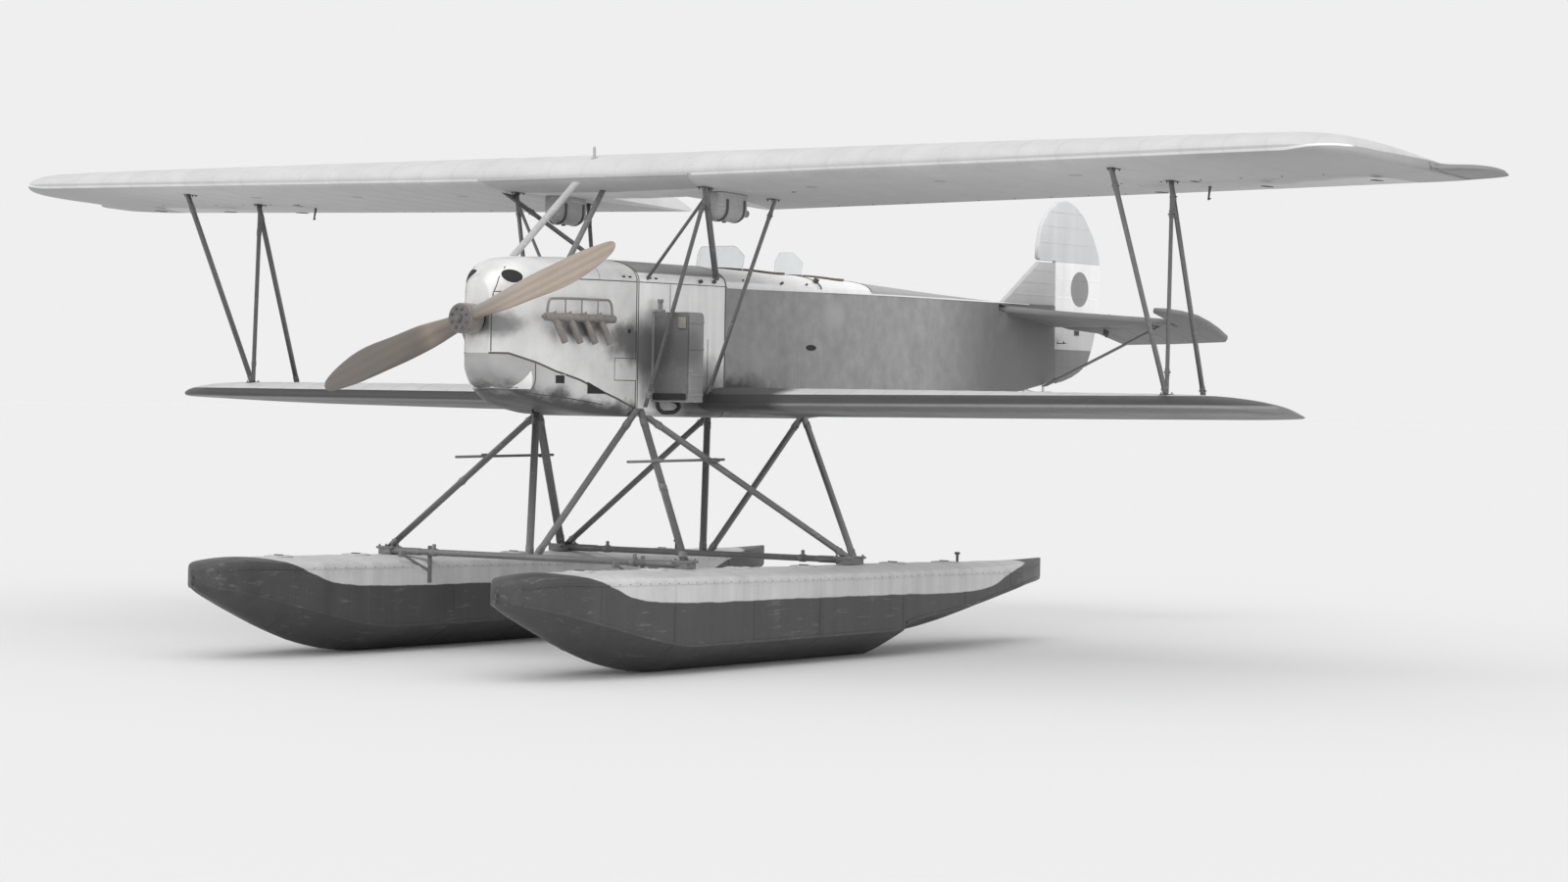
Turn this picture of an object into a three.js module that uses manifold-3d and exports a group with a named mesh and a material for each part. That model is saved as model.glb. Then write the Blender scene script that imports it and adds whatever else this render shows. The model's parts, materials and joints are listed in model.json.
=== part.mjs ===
import * as THREE from 'three';
import startSolids from 'manifold-3d';

// Twin-float biplane, millimetres. Stations are taken from the propeller hub:
// +X to port, +Y aft, +Z up. The whole is set down at the end, keels on Z = 0.
const rudderTrail = 9700;
const floatBow = -1390;
const keelDepth = 2660;
const datumY = -(rudderTrail + floatBow) / 2;
const gap = 0.4;

const upperSpan = 14270;
const lowerHalf = 5605;
const hingeAileron = 2850;
const aileronRoot = 4300;
const noseRadius = 112;
const hingeClear = 9;
const floatOffset = 1505;
const propellerRadius = 1545;
const bladeAngle = 22;
const elevatorDroop = 13;
const elevatorHinge = 8750;
const tailplaneTilt = 5.5;
const tailplaneLevel = 200;
const rudderHinge = 8845;

const solids = await startSolids();
solids.setup();
const { Manifold, Mesh: SolidMesh } = solids;

const paint = {
  metal: { color: 0xb9bcbd, roughness: 0.42, metalness: 0.5 },
  cloth: { color: 0x55585a, roughness: 0.75, metalness: 0 },
  wing: { color: 0x8f9294, roughness: 0.7, metalness: 0 },
  strut: { color: 0x2f3133, roughness: 0.5, metalness: 0.2 },
  hull: { color: 0xa9acae, roughness: 0.55, metalness: 0.1 },
  wood: { color: 0x4a2f1d, roughness: 0.4, metalness: 0 },
  iron: { color: 0x3a3a3b, roughness: 0.6, metalness: 0.6 },
  core: { color: 0x27292b, roughness: 0.7, metalness: 0.4 },
  tail: { color: 0xd8dadb, roughness: 0.6, metalness: 0 },
  hide: { color: 0x5b3a25, roughness: 0.7, metalness: 0 },
  glass: { color: 0xcfdde0, roughness: 0.08, metalness: 0 },
};

const aircraft = new THREE.Group();
aircraft.name = 'twin_float_biplane';
const airframe = new THREE.Group();
airframe.position.set(0, datumY, keelDepth);
aircraft.add(airframe);

// Geometry and solids

function toSolid(geometry) {
  const places = geometry.getAttribute('position');
  const order = geometry.getIndex();
  const corners = order ? Uint32Array.from(order.array) : Uint32Array.from({ length: places.count }, (_, i) => i);
  const mesh = new SolidMesh({ numProp: 3, vertProperties: Float32Array.from(places.array), triVerts: corners });
  mesh.merge();
  return new Manifold(mesh);
}

function toGeometry(solid) {
  const mesh = solid.getMesh();
  const geometry = new THREE.BufferGeometry();
  const places = new Float32Array(mesh.numVert * 3);
  for (let i = 0; i < mesh.numVert; i += 1) {
    for (let k = 0; k < 3; k += 1) places[i * 3 + k] = mesh.vertProperties[i * mesh.numProp + k];
  }
  geometry.setAttribute('position', new THREE.BufferAttribute(places, 3));
  geometry.setIndex(Array.from(mesh.triVerts));
  return geometry;
}

function add(name, solid, finish) {
  const geometry = toGeometry(solid);
  geometry.computeVertexNormals();
  const mesh = new THREE.Mesh(geometry, new THREE.MeshStandardMaterial({ ...paint[finish] }));
  mesh.name = name;
  airframe.add(mesh);
  return mesh;
}

// Joins rings of equal length into one closed skin, each end closed by a fan.
function loft(rings) {
  const count = rings[0].length;
  const places = rings.flat(2);
  const faces = [];
  for (let i = 0; i + 1 < rings.length; i += 1) {
    for (let k = 0; k < count; k += 1) {
      const a = i * count + k;
      const b = i * count + (k + 1) % count;
      faces.push(a, b, b + count, a, b + count, a + count);
    }
  }
  const cap = (ring, first, flip) => {
    const middle = [0, 1, 2].map((axis) => ring.reduce((sum, point) => sum + point[axis], 0) / count);
    const hub = places.length / 3;
    places.push(...middle);
    for (let k = 0; k < count; k += 1) {
      const a = first + k;
      const b = first + (k + 1) % count;
      faces.push(...(flip ? [hub, b, a] : [hub, a, b]));
    }
  };
  cap(rings[0], 0, true);
  cap(rings[rings.length - 1], (rings.length - 1) * count, false);
  const geometry = new THREE.BufferGeometry();
  geometry.setAttribute('position', new THREE.BufferAttribute(new Float32Array(places), 3));
  geometry.setIndex(faces);
  const solid = toSolid(geometry);
  if (solid.volume() > 0) return solid;
  geometry.setIndex(faces.map((_, i) => faces[i - (i % 3) + 2 - (i % 3)]));
  return toSolid(geometry);
}

function box(x, y, z, width, length, height) {
  const geometry = new THREE.BoxGeometry(width, length, height);
  return toSolid(geometry).translate([x, y, z]);
}

function rod(x, y, z, radius, length, turn, sides = 28) {
  const geometry = new THREE.CylinderGeometry(radius, radius, length, sides);
  return toSolid(geometry).rotate(turn).translate([x, y, z]);
}

function mirror(solid) {
  return solid.mirror([1, 0, 0]);
}

function blend(low, high, share) {
  return low + (high - low) * share;
}

// Reads a table of rows {at, ...} at one place, straight between its rows.
function read(table, at) {
  const last = table.length - 1;
  let i = 0;
  while (i < last - 1 && at > table[i + 1].at) i += 1;
  const share = Math.min(1, Math.max(0, (at - table[i].at) / (table[i + 1].at - table[i].at)));
  const row = {};
  for (const key of Object.keys(table[i])) row[key] = blend(table[i][key], table[i + 1][key], share);
  return row;
}

// Streamlined bar between two points. Each end is cut level, or to a surface.
function strut(low, high, size, seat = {}) {
  const foot = new THREE.Vector3(...low);
  const head = new THREE.Vector3(...high);
  const along = head.clone().sub(foot).normalize();
  const chord = new THREE.Vector3(0, 1, 0);
  chord.addScaledVector(along, -along.y).normalize();
  const side = new THREE.Vector3().crossVectors(along, chord);
  const ring = (centre, level) => {
    const points = [];
    for (let k = 0; k < size.sides; k += 1) {
      const angle = (k / size.sides) * Math.PI * 2;
      const point = centre.clone();
      point.addScaledVector(chord, Math.cos(angle) * size.chord / 2);
      point.addScaledVector(side, Math.sin(angle) * size.thick / 2);
      for (let pass = 0; pass < 4; pass += 1) {
        point.addScaledVector(along, (level(point.x, point.y) - point.z) / along.z);
      }
      points.push(point.toArray());
    }
    return points;
  };
  const flat = (z) => () => z;
  return loft([ring(foot, seat.low || flat(low[2])), ring(head, seat.high || flat(high[2]))]);
}

// Round pipe along a straight or bent line.
function pipe(points, radius) {
  const corners = points.map((point) => new THREE.Vector3(...point));
  const path = new THREE.CurvePath();
  for (let i = 0; i + 1 < corners.length; i += 1) path.add(new THREE.LineCurve3(corners[i], corners[i + 1]));
  const shape = new THREE.Shape();
  shape.absarc(0, 0, radius, 0, Math.PI * 2);
  const settings = { steps: corners.length - 1, curveSegments: 8, extrudePath: path };
  return toSolid(new THREE.ExtrudeGeometry(shape, settings));
}

// Plate in the plane of the tail surfaces, with rounded edges.
function plate(outline, thickness, edge) {
  const shape = new THREE.Shape(outline.map(([a, b]) => new THREE.Vector2(a, b)));
  const geometry = new THREE.ExtrudeGeometry(shape, {
    depth: thickness - 2 * edge,
    bevelEnabled: true,
    bevelThickness: edge,
    bevelSize: edge,
    bevelOffset: -edge,
    bevelSegments: 2,
    curveSegments: 8,
  });
  geometry.translate(0, 0, -(thickness - 2 * edge) / 2);
  return toSolid(geometry);
}

// Wings

const wingCurve = [
  { along: 0, top: 0.32, under: 0.32 },
  { along: 0.006, top: 0.44, under: 0.22 },
  { along: 0.02, top: 0.56, under: 0.14 },
  { along: 0.05, top: 0.7, under: 0.07 },
  { along: 0.1, top: 0.84, under: 0.02 },
  { along: 0.17, top: 0.95, under: 0 },
  { along: 0.27, top: 1, under: 0 },
  { along: 0.38, top: 0.985, under: 0 },
  { along: 0.5, top: 0.91, under: 0 },
  { along: 0.62, top: 0.79, under: 0 },
  { along: 0.74, top: 0.61, under: 0 },
  { along: 0.87, top: 0.36, under: 0 },
  { along: 1, top: 0.08, under: 0 },
];

const upper = {
  slope: -0.042,
  from: 1750,
  plan: [
    { at: 0, lead: 1390, trail: 3410, base: 1080, deep: 312 },
    { at: 4300, lead: 1390, trail: 3410, base: 1145, deep: 245 },
    { at: 6150, lead: 1390, trail: 3410, base: 1176, deep: 206 },
    { at: 6320, lead: 1405, trail: 3410, base: 1179, deep: 198 },
    { at: 6450, lead: 1455, trail: 3410, base: 1181, deep: 184 },
    { at: 6560, lead: 1560, trail: 3410, base: 1183, deep: 164 },
    { at: 6640, lead: 1710, trail: 3410, base: 1185, deep: 142 },
    { at: 6700, lead: 1960, trail: 3410, base: 1187, deep: 116 },
    { at: 6735, lead: 2300, trail: 3410, base: 1189, deep: 90 },
    { at: 6760, lead: 2720, trail: 3410, base: 1191, deep: 68 },
    { at: 6830, lead: 2815, trail: 3410, base: 1194, deep: 62 },
    { at: 6980, lead: 2880, trail: 3398, base: 1200, deep: 54 },
    { at: 7070, lead: 2960, trail: 3372, base: 1204, deep: 44 },
    { at: 7115, lead: 3050, trail: 3330, base: 1208, deep: 32 },
    { at: upperSpan / 2, lead: 3140, trail: 3260, base: 1211, deep: 20 },
  ],
};

const lower = {
  slope: -0.03,
  from: 2700,
  plan: [
    { at: 0, lead: 2350, trail: 3690, base: -700, deep: 212 },
    { at: 4800, lead: 2350, trail: 3690, base: -655, deep: 158 },
    { at: 5100, lead: 2362, trail: 3655, base: -650, deep: 142 },
    { at: 5300, lead: 2405, trail: 3575, base: -646, deep: 120 },
    { at: 5420, lead: 2458, trail: 3470, base: -643, deep: 98 },
    { at: 5520, lead: 2545, trail: 3270, base: -639, deep: 74 },
    { at: 5580, lead: 2650, trail: 3080, base: -635, deep: 52 },
    { at: lowerHalf, lead: 2760, trail: 2950, base: -630, deep: 34 },
  ],
};

function wingRow(wing, x) {
  return read(wing.plan, Math.abs(x));
}

function wingLevel(wing, x, y, side) {
  const row = wingRow(wing, x);
  const share = Math.min(1, Math.max(0, (y - row.lead) / (row.trail - row.lead)));
  const curve = wingCurve.map(({ along, top, under }) => ({ at: along, top, under }));
  return row.base + wing.slope * (y - wing.from) + row.deep * read(curve, share)[side];
}

function wingRing(wing, x) {
  const row = wingRow(wing, x);
  const point = (curve, side) => {
    const y = blend(row.lead, row.trail, curve.along);
    return [x, y, row.base + wing.slope * (y - wing.from) + row.deep * curve[side]];
  };
  const over = wingCurve.map((curve) => point(curve, 'top'));
  const beneath = wingCurve.slice(1).reverse().map((curve) => point(curve, 'under'));
  return [...over, ...beneath];
}

function wingPanel(wing, from, to) {
  const places = [from];
  for (const { at } of wing.plan) {
    for (const x of [at, -at]) if (x > from && x < to && !places.includes(x)) places.push(x);
  }
  places.push(to);
  places.sort((a, b) => a - b);
  return loft(places.map((x) => wingRing(wing, x)));
}

function upperWing() {
  const half = upperSpan / 2;
  const whole = wingPanel(upper, -half, half);
  const axisLevel = 1210;
  const length = half - aileronRoot + 200;
  const middle = aileronRoot + length / 2;
  const nose = (radius) => rod(middle, hingeAileron, axisLevel, radius, length, [0, 0, 90], 40);
  const rear = (from) => box(middle, from + 500, axisLevel, length, 1000, 900);
  const tip = (from) => box(7230, 3040, axisLevel, 2 * (7230 - from), 1500, 900);
  const bay = nose(noseRadius + hingeClear).add(rear(hingeAileron - 1)).add(tip(6762));
  const flap = nose(noseRadius).add(rear(hingeAileron)).add(tip(6772));
  const inner = box(aileronRoot - 500, hingeAileron, axisLevel, 1000 + 2 * hingeClear, 3000, 2000);
  const port = whole.intersect(flap).subtract(inner);
  const notch = box(0, 3000, 1200, 780, 1400, 900);
  const shell = whole.subtract(bay).subtract(mirror(bay)).subtract(notch);
  add('upper_wing', shell, 'wing');
  add('aileron_port', port, 'wing');
  add('aileron_starboard', mirror(port), 'wing');
}

function lowerWings() {
  const panel = wingPanel(lower, 512, lowerHalf);
  add('lower_wing_port', panel, 'wing');
  add('lower_wing_starboard', mirror(panel), 'wing');
}

// Fuselage

const noseRows = [
  { at: 130, half: 118, low: -330, side: 120, top: 300, ease: 40 },
  { at: 165, half: 155, low: -400, side: 170, top: 365, ease: 60 },
  { at: 230, half: 205, low: -462, side: 225, top: 425, ease: 90 },
  { at: 330, half: 268, low: -530, side: 270, top: 470, ease: 120 },
  { at: 500, half: 366, low: -608, side: 305, top: 496, ease: 150 },
  { at: 700, half: 446, low: -662, side: 322, top: 508, ease: 160 },
  { at: 950, half: 494, low: -704, side: 330, top: 516, ease: 150 },
  { at: 1200, half: 507, low: -730, side: 333, top: 520, ease: 110 },
  { at: 1500, half: 510, low: -740, side: 335, top: 522, ease: 70 },
];

const bodyRows = [
  { at: 1500, half: 510, low: -740, side: 335, top: 522, ease: 70 },
  { at: 2700, half: 510, low: -740, side: 340, top: 520, ease: 70 },
  { at: 4000, half: 505, low: -740, side: 352, top: 500, ease: 70 },
  { at: 4930, half: 465, low: -668, side: 362, top: 480, ease: 60 },
  { at: 6000, half: 385, low: -585, side: 370, top: 432, ease: 50 },
  { at: 7200, half: 268, low: -514, side: 376, top: 386, ease: 40 },
  { at: 8000, half: 170, low: -456, side: 380, top: 382, ease: 30 },
  { at: 8450, half: 100, low: -400, side: 380, top: 382, ease: 24 },
  { at: 8700, half: 56, low: -366, side: 380, top: 382, ease: 16 },
  { at: 8812, half: 30, low: -352, side: 380, top: 382, ease: 10 },
];

// Half ring of the tub: flat floor, eased lower corner, upright side.
function tubRing(row, y, shrink, roof) {
  const half = row.half - shrink;
  const low = row.low + shrink;
  const { ease } = row;
  const right = [[0, low], [half - ease, low], [half - ease * 0.3, low + ease * 0.3], [half, low + ease]];
  const sideTop = row.side;
  if (!roof) {
    right.push([half, sideTop], [0, sideTop]);
  } else {
    const rise = row.top - shrink - sideTop;
    for (let k = 0; k <= 6; k += 1) {
      const angle = (k / 6) * Math.PI / 2;
      right.push([half * Math.cos(angle) ** 0.8, sideTop + rise * Math.sin(angle) ** 0.9]);
    }
    right[right.length - 1] = [0, row.top - shrink];
  }
  const left = right.slice(1, -1).reverse().map(([x, z]) => [-x, z]);
  return [...right, ...left].map(([x, z]) => [x, y, z]);
}

function tub(rows, from, to, shrink = 0, roof = false) {
  const places = [from, ...rows.map((row) => row.at).filter((at) => at > from && at < to), to];
  return loft(places.map((y) => tubRing(read(rows, y), y, shrink, roof)));
}

// Rounded decking above the upper longerons.
function deckRing(row, y, shrink, sink) {
  const half = row.half - shrink;
  const base = row.side + gap - sink;
  const rise = row.top - shrink - row.side - gap;
  const ring = [[half, base]];
  for (let k = 0; k <= 16; k += 1) {
    const angle = (k / 16) * Math.PI;
    const level = row.side + gap + Math.max(0.5, rise) * Math.sin(angle) ** 0.9;
    ring.push([half * Math.sign(Math.cos(angle)) * Math.abs(Math.cos(angle)) ** 0.8, level]);
  }
  ring.push([-half, base]);
  return ring.map(([x, z]) => [x, y, z]);
}

function deck(from, to, shrink, sink) {
  const places = [from, ...bodyRows.map((row) => row.at).filter((at) => at > from && at < to), to];
  return loft(places.map((y) => deckRing(read(bodyRows, y), y, shrink, sink)));
}

function fuselage() {
  const cowl = tub(noseRows, 130, 1499, 0, true).subtract(tub(noseRows, 145, 1700, 14, true));
  const shaftHole = rod(0, 130, 0, 62, 200, [0, 0, 0]);
  add('engine_cowl', cowl.subtract(shaftHole), 'metal');
  add('fuselage_front', tub(bodyRows, 1500, 2699.5, 0, true), 'metal');
  const well = tub(bodyRows, 3150, 5050, 26).add(box(0, 4100, 500, 880, 1900, 700));
  const slot = tilt(box(0, 8070, tailplaneLevel, 1400, 1306, 63), tailplaneTilt);
  const rear = tub(bodyRows, 2700, 8812).subtract(well).subtract(slot);
  add('fuselage_rear', rear, 'cloth');
  const skin = (from, to) => deck(from, to, 0, 0).subtract(deck(from + 12, to - 12, 12, 60));
  const hatch = (y, half, reach) => {
    const ring = (z) => {
      const points = [];
      for (let k = 0; k < 24; k += 1) {
        const angle = (k / 24) * Math.PI * 2;
        points.push([half * Math.cos(angle), y + reach * Math.sin(angle), z]);
      }
      return points;
    };
    return loft([ring(200), ring(900)]);
  };
  add('pilot_coaming', skin(2700.5, 4109.5).subtract(hatch(3700, 290, 310)), 'metal');
  add('observer_coaming', skin(4110.5, 4930).subtract(hatch(4620, 300, 260)), 'metal');
  add('turtle_deck', deck(4931, 7200, 0, 0), 'cloth');
}

function engine() {
  const block = box(0, 860, -120, 400, 1040, 540);
  const bank = box(0, 850, 270, 200, 840, 270);
  const nose = rod(0, 275, 0, 95, 140, [0, 0, 0]);
  add('engine_block', block.add(bank).add(nose), 'iron');
  const outward = (y) => blend(455, 556, (y - 400) / 770);
  const log = { from: 400, to: 1150, level: 26, radius: 32 };
  const stub = { count: 4, first: 494, gap: 162, low: -165, radius: 28 };
  let stubs = pipe([[outward(log.from), log.from, log.level], [outward(log.to), log.to, log.level]], log.radius);
  for (let k = 0; k < stub.count; k += 1) {
    const y = stub.first + k * stub.gap;
    stubs = stubs.add(pipe([[outward(y), y, log.level], [outward(y + 110) + 8, y + 115, stub.low]], stub.radius));
  }
  const railHeight = 175;
  const railFrom = [outward(425) - 4, 425, 36];
  const railTo = [outward(1130) - 6, 1130, 36];
  const railStart = [outward(450) - 2, 450, railHeight - 12];
  const railEnd = [outward(1090) - 2, 1090, railHeight];
  const rail = pipe([railFrom, railStart], 10).add(pipe([railStart, railEnd], 10)).add(pipe([railEnd, railTo], 10));
  const cowl = tub(noseRows, 131, 1498, -1, true);
  add('exhaust_port', stubs.add(rail).subtract(cowl), 'iron');
  add('exhaust_starboard', mirror(stubs.subtract(cowl)), 'iron');
}

function radiators() {
  const shape = new THREE.Shape();
  shape.moveTo(511, -620);
  shape.lineTo(890, -620);
  shape.lineTo(890, 60);
  shape.lineTo(860, 100);
  shape.lineTo(511, 100);
  shape.closePath();
  const geometry = new THREE.ExtrudeGeometry(shape, { depth: 190, bevelEnabled: false });
  const block = toSolid(geometry).rotate([90, 0, 0]).translate([0, 1880, 0]);
  const neck = rod(560, 1735, 140, 18, 110, [90, 0, 0], 16);
  const foot = rod(560, 1735, 108, 40, 24, [90, 0, 0], 16);
  const core = block.add(neck).add(foot);
  add('radiator_port', core, 'core');
  add('radiator_starboard', mirror(core), 'core');
}

function propeller() {
  // Shift is how far the chord's centre stands off the blade's own axis.
  const rows = [
    { at: 60, wide: 140, deep: 120, pitch: 54, shift: 0 },
    { at: 200, wide: 168, deep: 92, pitch: 44, shift: 6 },
    { at: 420, wide: 212, deep: 62, pitch: 31, shift: 17 },
    { at: 700, wide: 226, deep: 44, pitch: 22, shift: 28 },
    { at: 1000, wide: 238, deep: 32, pitch: 17, shift: 48 },
    { at: 1120, wide: 230, deep: 28, pitch: 15, shift: 50 },
    { at: 1250, wide: 204, deep: 24, pitch: 14, shift: 47 },
    { at: 1380, wide: 162, deep: 20, pitch: 13, shift: 43 },
    { at: 1470, wide: 122, deep: 16, pitch: 12, shift: 37 },
    { at: 1525, wide: 78, deep: 12, pitch: 12, shift: 33 },
    { at: propellerRadius, wide: 34, deep: 9, pitch: 12, shift: 30 },
  ];
  const blade = loft(rows.map(({ at, wide, deep, pitch, shift }) => {
    const turn = THREE.MathUtils.degToRad(pitch);
    const ring = [];
    for (let k = 0; k < 18; k += 1) {
      const angle = (k / 18) * Math.PI * 2;
      const across = Math.cos(angle) * wide / 2 - shift;
      const thick = Math.sin(angle) * deep / 2;
      ring.push([
        at,
        across * Math.sin(turn) - thick * Math.cos(turn),
        across * Math.cos(turn) + thick * Math.sin(turn),
      ]);
    }
    return ring;
  }));
  const hub = rod(0, 0, 0, 118, 170, [0, 0, 0], 36);
  const shaft = rod(0, 125, 0, 44, 130, [0, 0, 0]);
  const screw = hub.add(shaft).add(blade).add(blade.rotate([0, 180, 0])).rotate([0, -bladeAngle, 0]);
  add('propeller', screw, 'wood');
}

function cockpits() {
  const seat = (y, level) => {
    const floor = Math.max(read(bodyRows, y - 80).low, read(bodyRows, y + 80).low) + 27;
    const pan = box(0, y, level, 380, 330, 40);
    const back = box(0, y + 180, level + 180, 380, 40, 400);
    const post = box(0, y, (level + floor) / 2, 120, 150, level - floor);
    return pan.add(back).add(post);
  };
  add('pilot_seat', seat(3740, -260), 'hide');
  add('observer_seat', seat(4640, -240), 'hide');
  const roofs = deck(2600, 5000, -1.5, 20);
  const screen = ({ half, y, reach, top, lean, trim }) => {
    const outline = (offset) => {
      const points = [];
      for (let k = 0; k <= 12; k += 1) {
        const angle = Math.PI * (0.1 + 0.8 * (k / 12));
        points.push([(half + offset) * Math.cos(angle), y - (reach + offset) * Math.sin(angle)]);
      }
      return points;
    };
    const loop = (z, shift) => {
      const outside = outline(0).map(([x, back]) => [x, back + shift, z]);
      const inside = outline(-6).reverse().map(([x, back]) => [x, back + shift, z]);
      return [...outside, ...inside];
    };
    let pane = loftStrip([loop(400, 0), loop(top, lean)]).subtract(roofs);
    for (const side of [-1, 1]) {
      const corner = box(0, 0, 0, trim, 400, trim).rotate([0, 45, 0]).translate([side * half, y, top]);
      pane = pane.subtract(corner);
    }
    return pane;
  };
  add('windscreen', screen({ half: 258, y: 3310, reach: 85, top: 708, lean: 30, trim: 110 }), 'glass');
  add('rear_windscreen', screen({ half: 158, y: 4320, reach: 60, top: 702, lean: 20, trim: 120 }), 'glass');
}

// Closed skin over rings that aren't convex, ends closed by their own strips.
function loftStrip(rings) {
  const count = rings[0].length;
  const half = count / 2;
  const faces = [];
  for (let k = 0; k < count; k += 1) {
    const a = k;
    const b = (k + 1) % count;
    faces.push(a, b, b + count, a, b + count, a + count);
  }
  for (let k = 0; k + 1 < half; k += 1) {
    const pair = [k, k + 1, count - 2 - k, count - 1 - k];
    faces.push(pair[0], pair[2], pair[1], pair[0], pair[3], pair[2]);
    faces.push(...[pair[0], pair[1], pair[2], pair[0], pair[2], pair[3]].map((i) => i + count));
  }
  const geometry = new THREE.BufferGeometry();
  geometry.setAttribute('position', new THREE.BufferAttribute(new Float32Array(rings.flat(2)), 3));
  geometry.setIndex(faces);
  const solid = toSolid(geometry);
  if (solid.volume() > 0) return solid;
  geometry.setIndex(faces.map((_, i) => faces[i - (i % 3) + 2 - (i % 3)]));
  return toSolid(geometry);
}

// Struts

function cellule() {
  const underUpper = (x, y) => wingLevel(upper, x, y, 'under') - 2;
  const overLower = (x, y) => wingLevel(lower, x, y, 'top') + 3;
  const bar = { chord: 58, thick: 30, sides: 14 };
  const seat = { low: overLower, high: underUpper };
  const front = strut([4710, 2590, -520], [4700, 1750, 1080], bar, seat);
  const back = strut([4710, 3180, -520], [4700, 2640, 1050], bar, seat);
  const inside = { low: (x, y) => overLower(x, y) + 9, high: (x, y) => underUpper(x, y) - 9 };
  const slim = { chord: 48, thick: 25, sides: 12 };
  const cross = strut([4710, 2592, -520], [4700, 2638, 1050], slim, inside);
  const frame = front.add(back).add(cross);
  add('interplane_struts_port', frame, 'strut');
  add('interplane_struts_starboard', mirror(frame), 'strut');

  const roofFront = (x, y) => wingLevel(upper, x, y, 'under') - 3;
  const slender = { chord: 46, thick: 26, sides: 12 };
  const long = strut([552, 1567, -664], [960, 1765, 1005], slender, { high: roofFront });
  const thin = { chord: 34, thick: 24, sides: 12 };
  const inner = strut([470, 1620, 320], [960, 1765, 1005], thin, { high: (x, y) => roofFront(x, y) - 7 });
  const brace = strut([430, 2680, 330], [960, 1790, 1005], bar, { high: (x, y) => roofFront(x, y) - 14 });
  const clearBody = tub(bodyRows, 1500, 2900, -1, true);
  const cabane = long.add(inner).add(brace).subtract(clearBody);
  add('cabane_struts_port', cabane, 'strut');
  add('cabane_struts_starboard', mirror(cabane), 'strut');
  const rearSeat = { low: (x, y) => overLower(x, y) + 7, high: underUpper };
  const rear = strut([540, 2400, -600], [960, 2712, 1000], slender, rearSeat);
  add('rear_cabane_strut_port', rear, 'strut');
  add('rear_cabane_strut_starboard', mirror(rear), 'strut');

  const lead = wingLevel(upper, 0, 1395, 'under');
  const pipe = { chord: 56, thick: 56, sides: 16 };
  const light = strut([0, 560, 507], [0, 1340, lead - 50], pipe, {});
  add('header_pipe_front', light, 'hull');
  const dark = strut([0, 1260, 524], [0, 1660, 1060], { chord: 46, thick: 46, sides: 16 }, { high: underUpper });
  add('header_pipe_rear', dark, 'strut');
}

function wingTanks() {
  const offset = 830;
  const rows = [
    { at: 2030, half: 50, low: 905 },
    { at: 2070, half: 86, low: 868 },
    { at: 2130, half: 100, low: 850 },
    { at: 2340, half: 100, low: 845 },
    { at: 2405, half: 86, low: 860 },
    { at: 2450, half: 52, low: 894 },
  ];
  const body = loft(rows.map(({ at, half, low }) => {
    const top = wingLevel(upper, offset, at, 'under') - 3;
    const ring = [[offset - half, at, top]];
    for (let k = 0; k <= 10; k += 1) {
      const angle = Math.PI + (k / 10) * Math.PI;
      ring.push([offset + half * Math.cos(angle), at, low + half + half * Math.sin(angle)]);
    }
    ring.push([offset + half, at, top]);
    return ring;
  }));
  const valve = rod(offset, 2470, 925, 30, 100, [0, 0, 0], 16);
  const tank = body.add(valve);
  add('wing_tank_port', tank, 'hull');
  add('wing_tank_starboard', mirror(tank), 'hull');
}

// Tail

function upright(outline, thickness, edge) {
  return plate(outline, thickness, edge).rotate([90, 0, 90]);
}

function tilt(solid, angle) {
  const hinge = [0, elevatorHinge, tailplaneLevel];
  return solid.translate(hinge.map((v) => -v)).rotate([-angle, 0, 0]).translate(hinge);
}

function tail() {
  add('fin', upright([[7840, 382.8], [8510, 802], [8814, 802], [8814, 382.8]], 50, 12), 'strut');
  const front = rudderHinge - 22;
  const outline = [
    [front, -372], [8900, -368], [9030, -346], [9180, -308], [9325, -254], [9475, -160], [9560, -15], [9600, 90],
    [9640, 230], [9690, 560],
    [rudderTrail, 720], [9668, 900], [9610, 1000], [9530, 1110], [9370, 1278], [9200, 1376], [9040, 1421],
    [8860, 1404], [8670, 1296], [8550, 1155], [8488, 963], [8484, 830], [front, 830],
  ];
  add('rudder', upright(outline, 44, 14), 'tail');

  const half = [
    [0, 7420], [110, 7470], [400, 7735], [720, 8045], [1100, 8330], [1300, 8455], [1410, 8545], [1418, 8722],
  ];
  const flat = (points, deep, edge) => plate(points, deep, edge).translate([0, 0, tailplaneLevel]);
  const whole = [...half, ...half.slice(1).reverse().map(([x, y]) => [-x, y])];
  add('tailplane', tilt(flat(whole, 62, 20), tailplaneTilt), 'cloth');

  const flap = [
    [125, 8738], [1430, 8738], [1430, 8240], [1450, 8205], [1575, 8225], [1700, 8320], [1785, 8480], [1790, 8700],
    [1760, 8960], [1700, 9250], [1640, 9335], [1050, 9420], [450, 9465], [425, 9260], [400, 9010], [280, 8925],
    [158, 8852],
  ];
  const droop = tilt(flat(flap, 50, 16), elevatorDroop);
  add('elevator_port', droop, 'cloth');
  add('elevator_starboard', mirror(droop), 'cloth');

  const under = (x, y) => tailplaneLevel + (elevatorHinge - y) * Math.tan(THREE.MathUtils.degToRad(tailplaneTilt)) - 32;
  const prop = strut([90, 8520, -405], [1270, 8640, 170], { chord: 46, thick: 26, sides: 12 }, { high: under });
  const brace = prop.subtract(tub(bodyRows, 7900, 8811, -1));
  add('tailplane_strut_port', brace, 'strut');
  add('tailplane_strut_starboard', mirror(brace), 'strut');
}

// Floats

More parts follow.
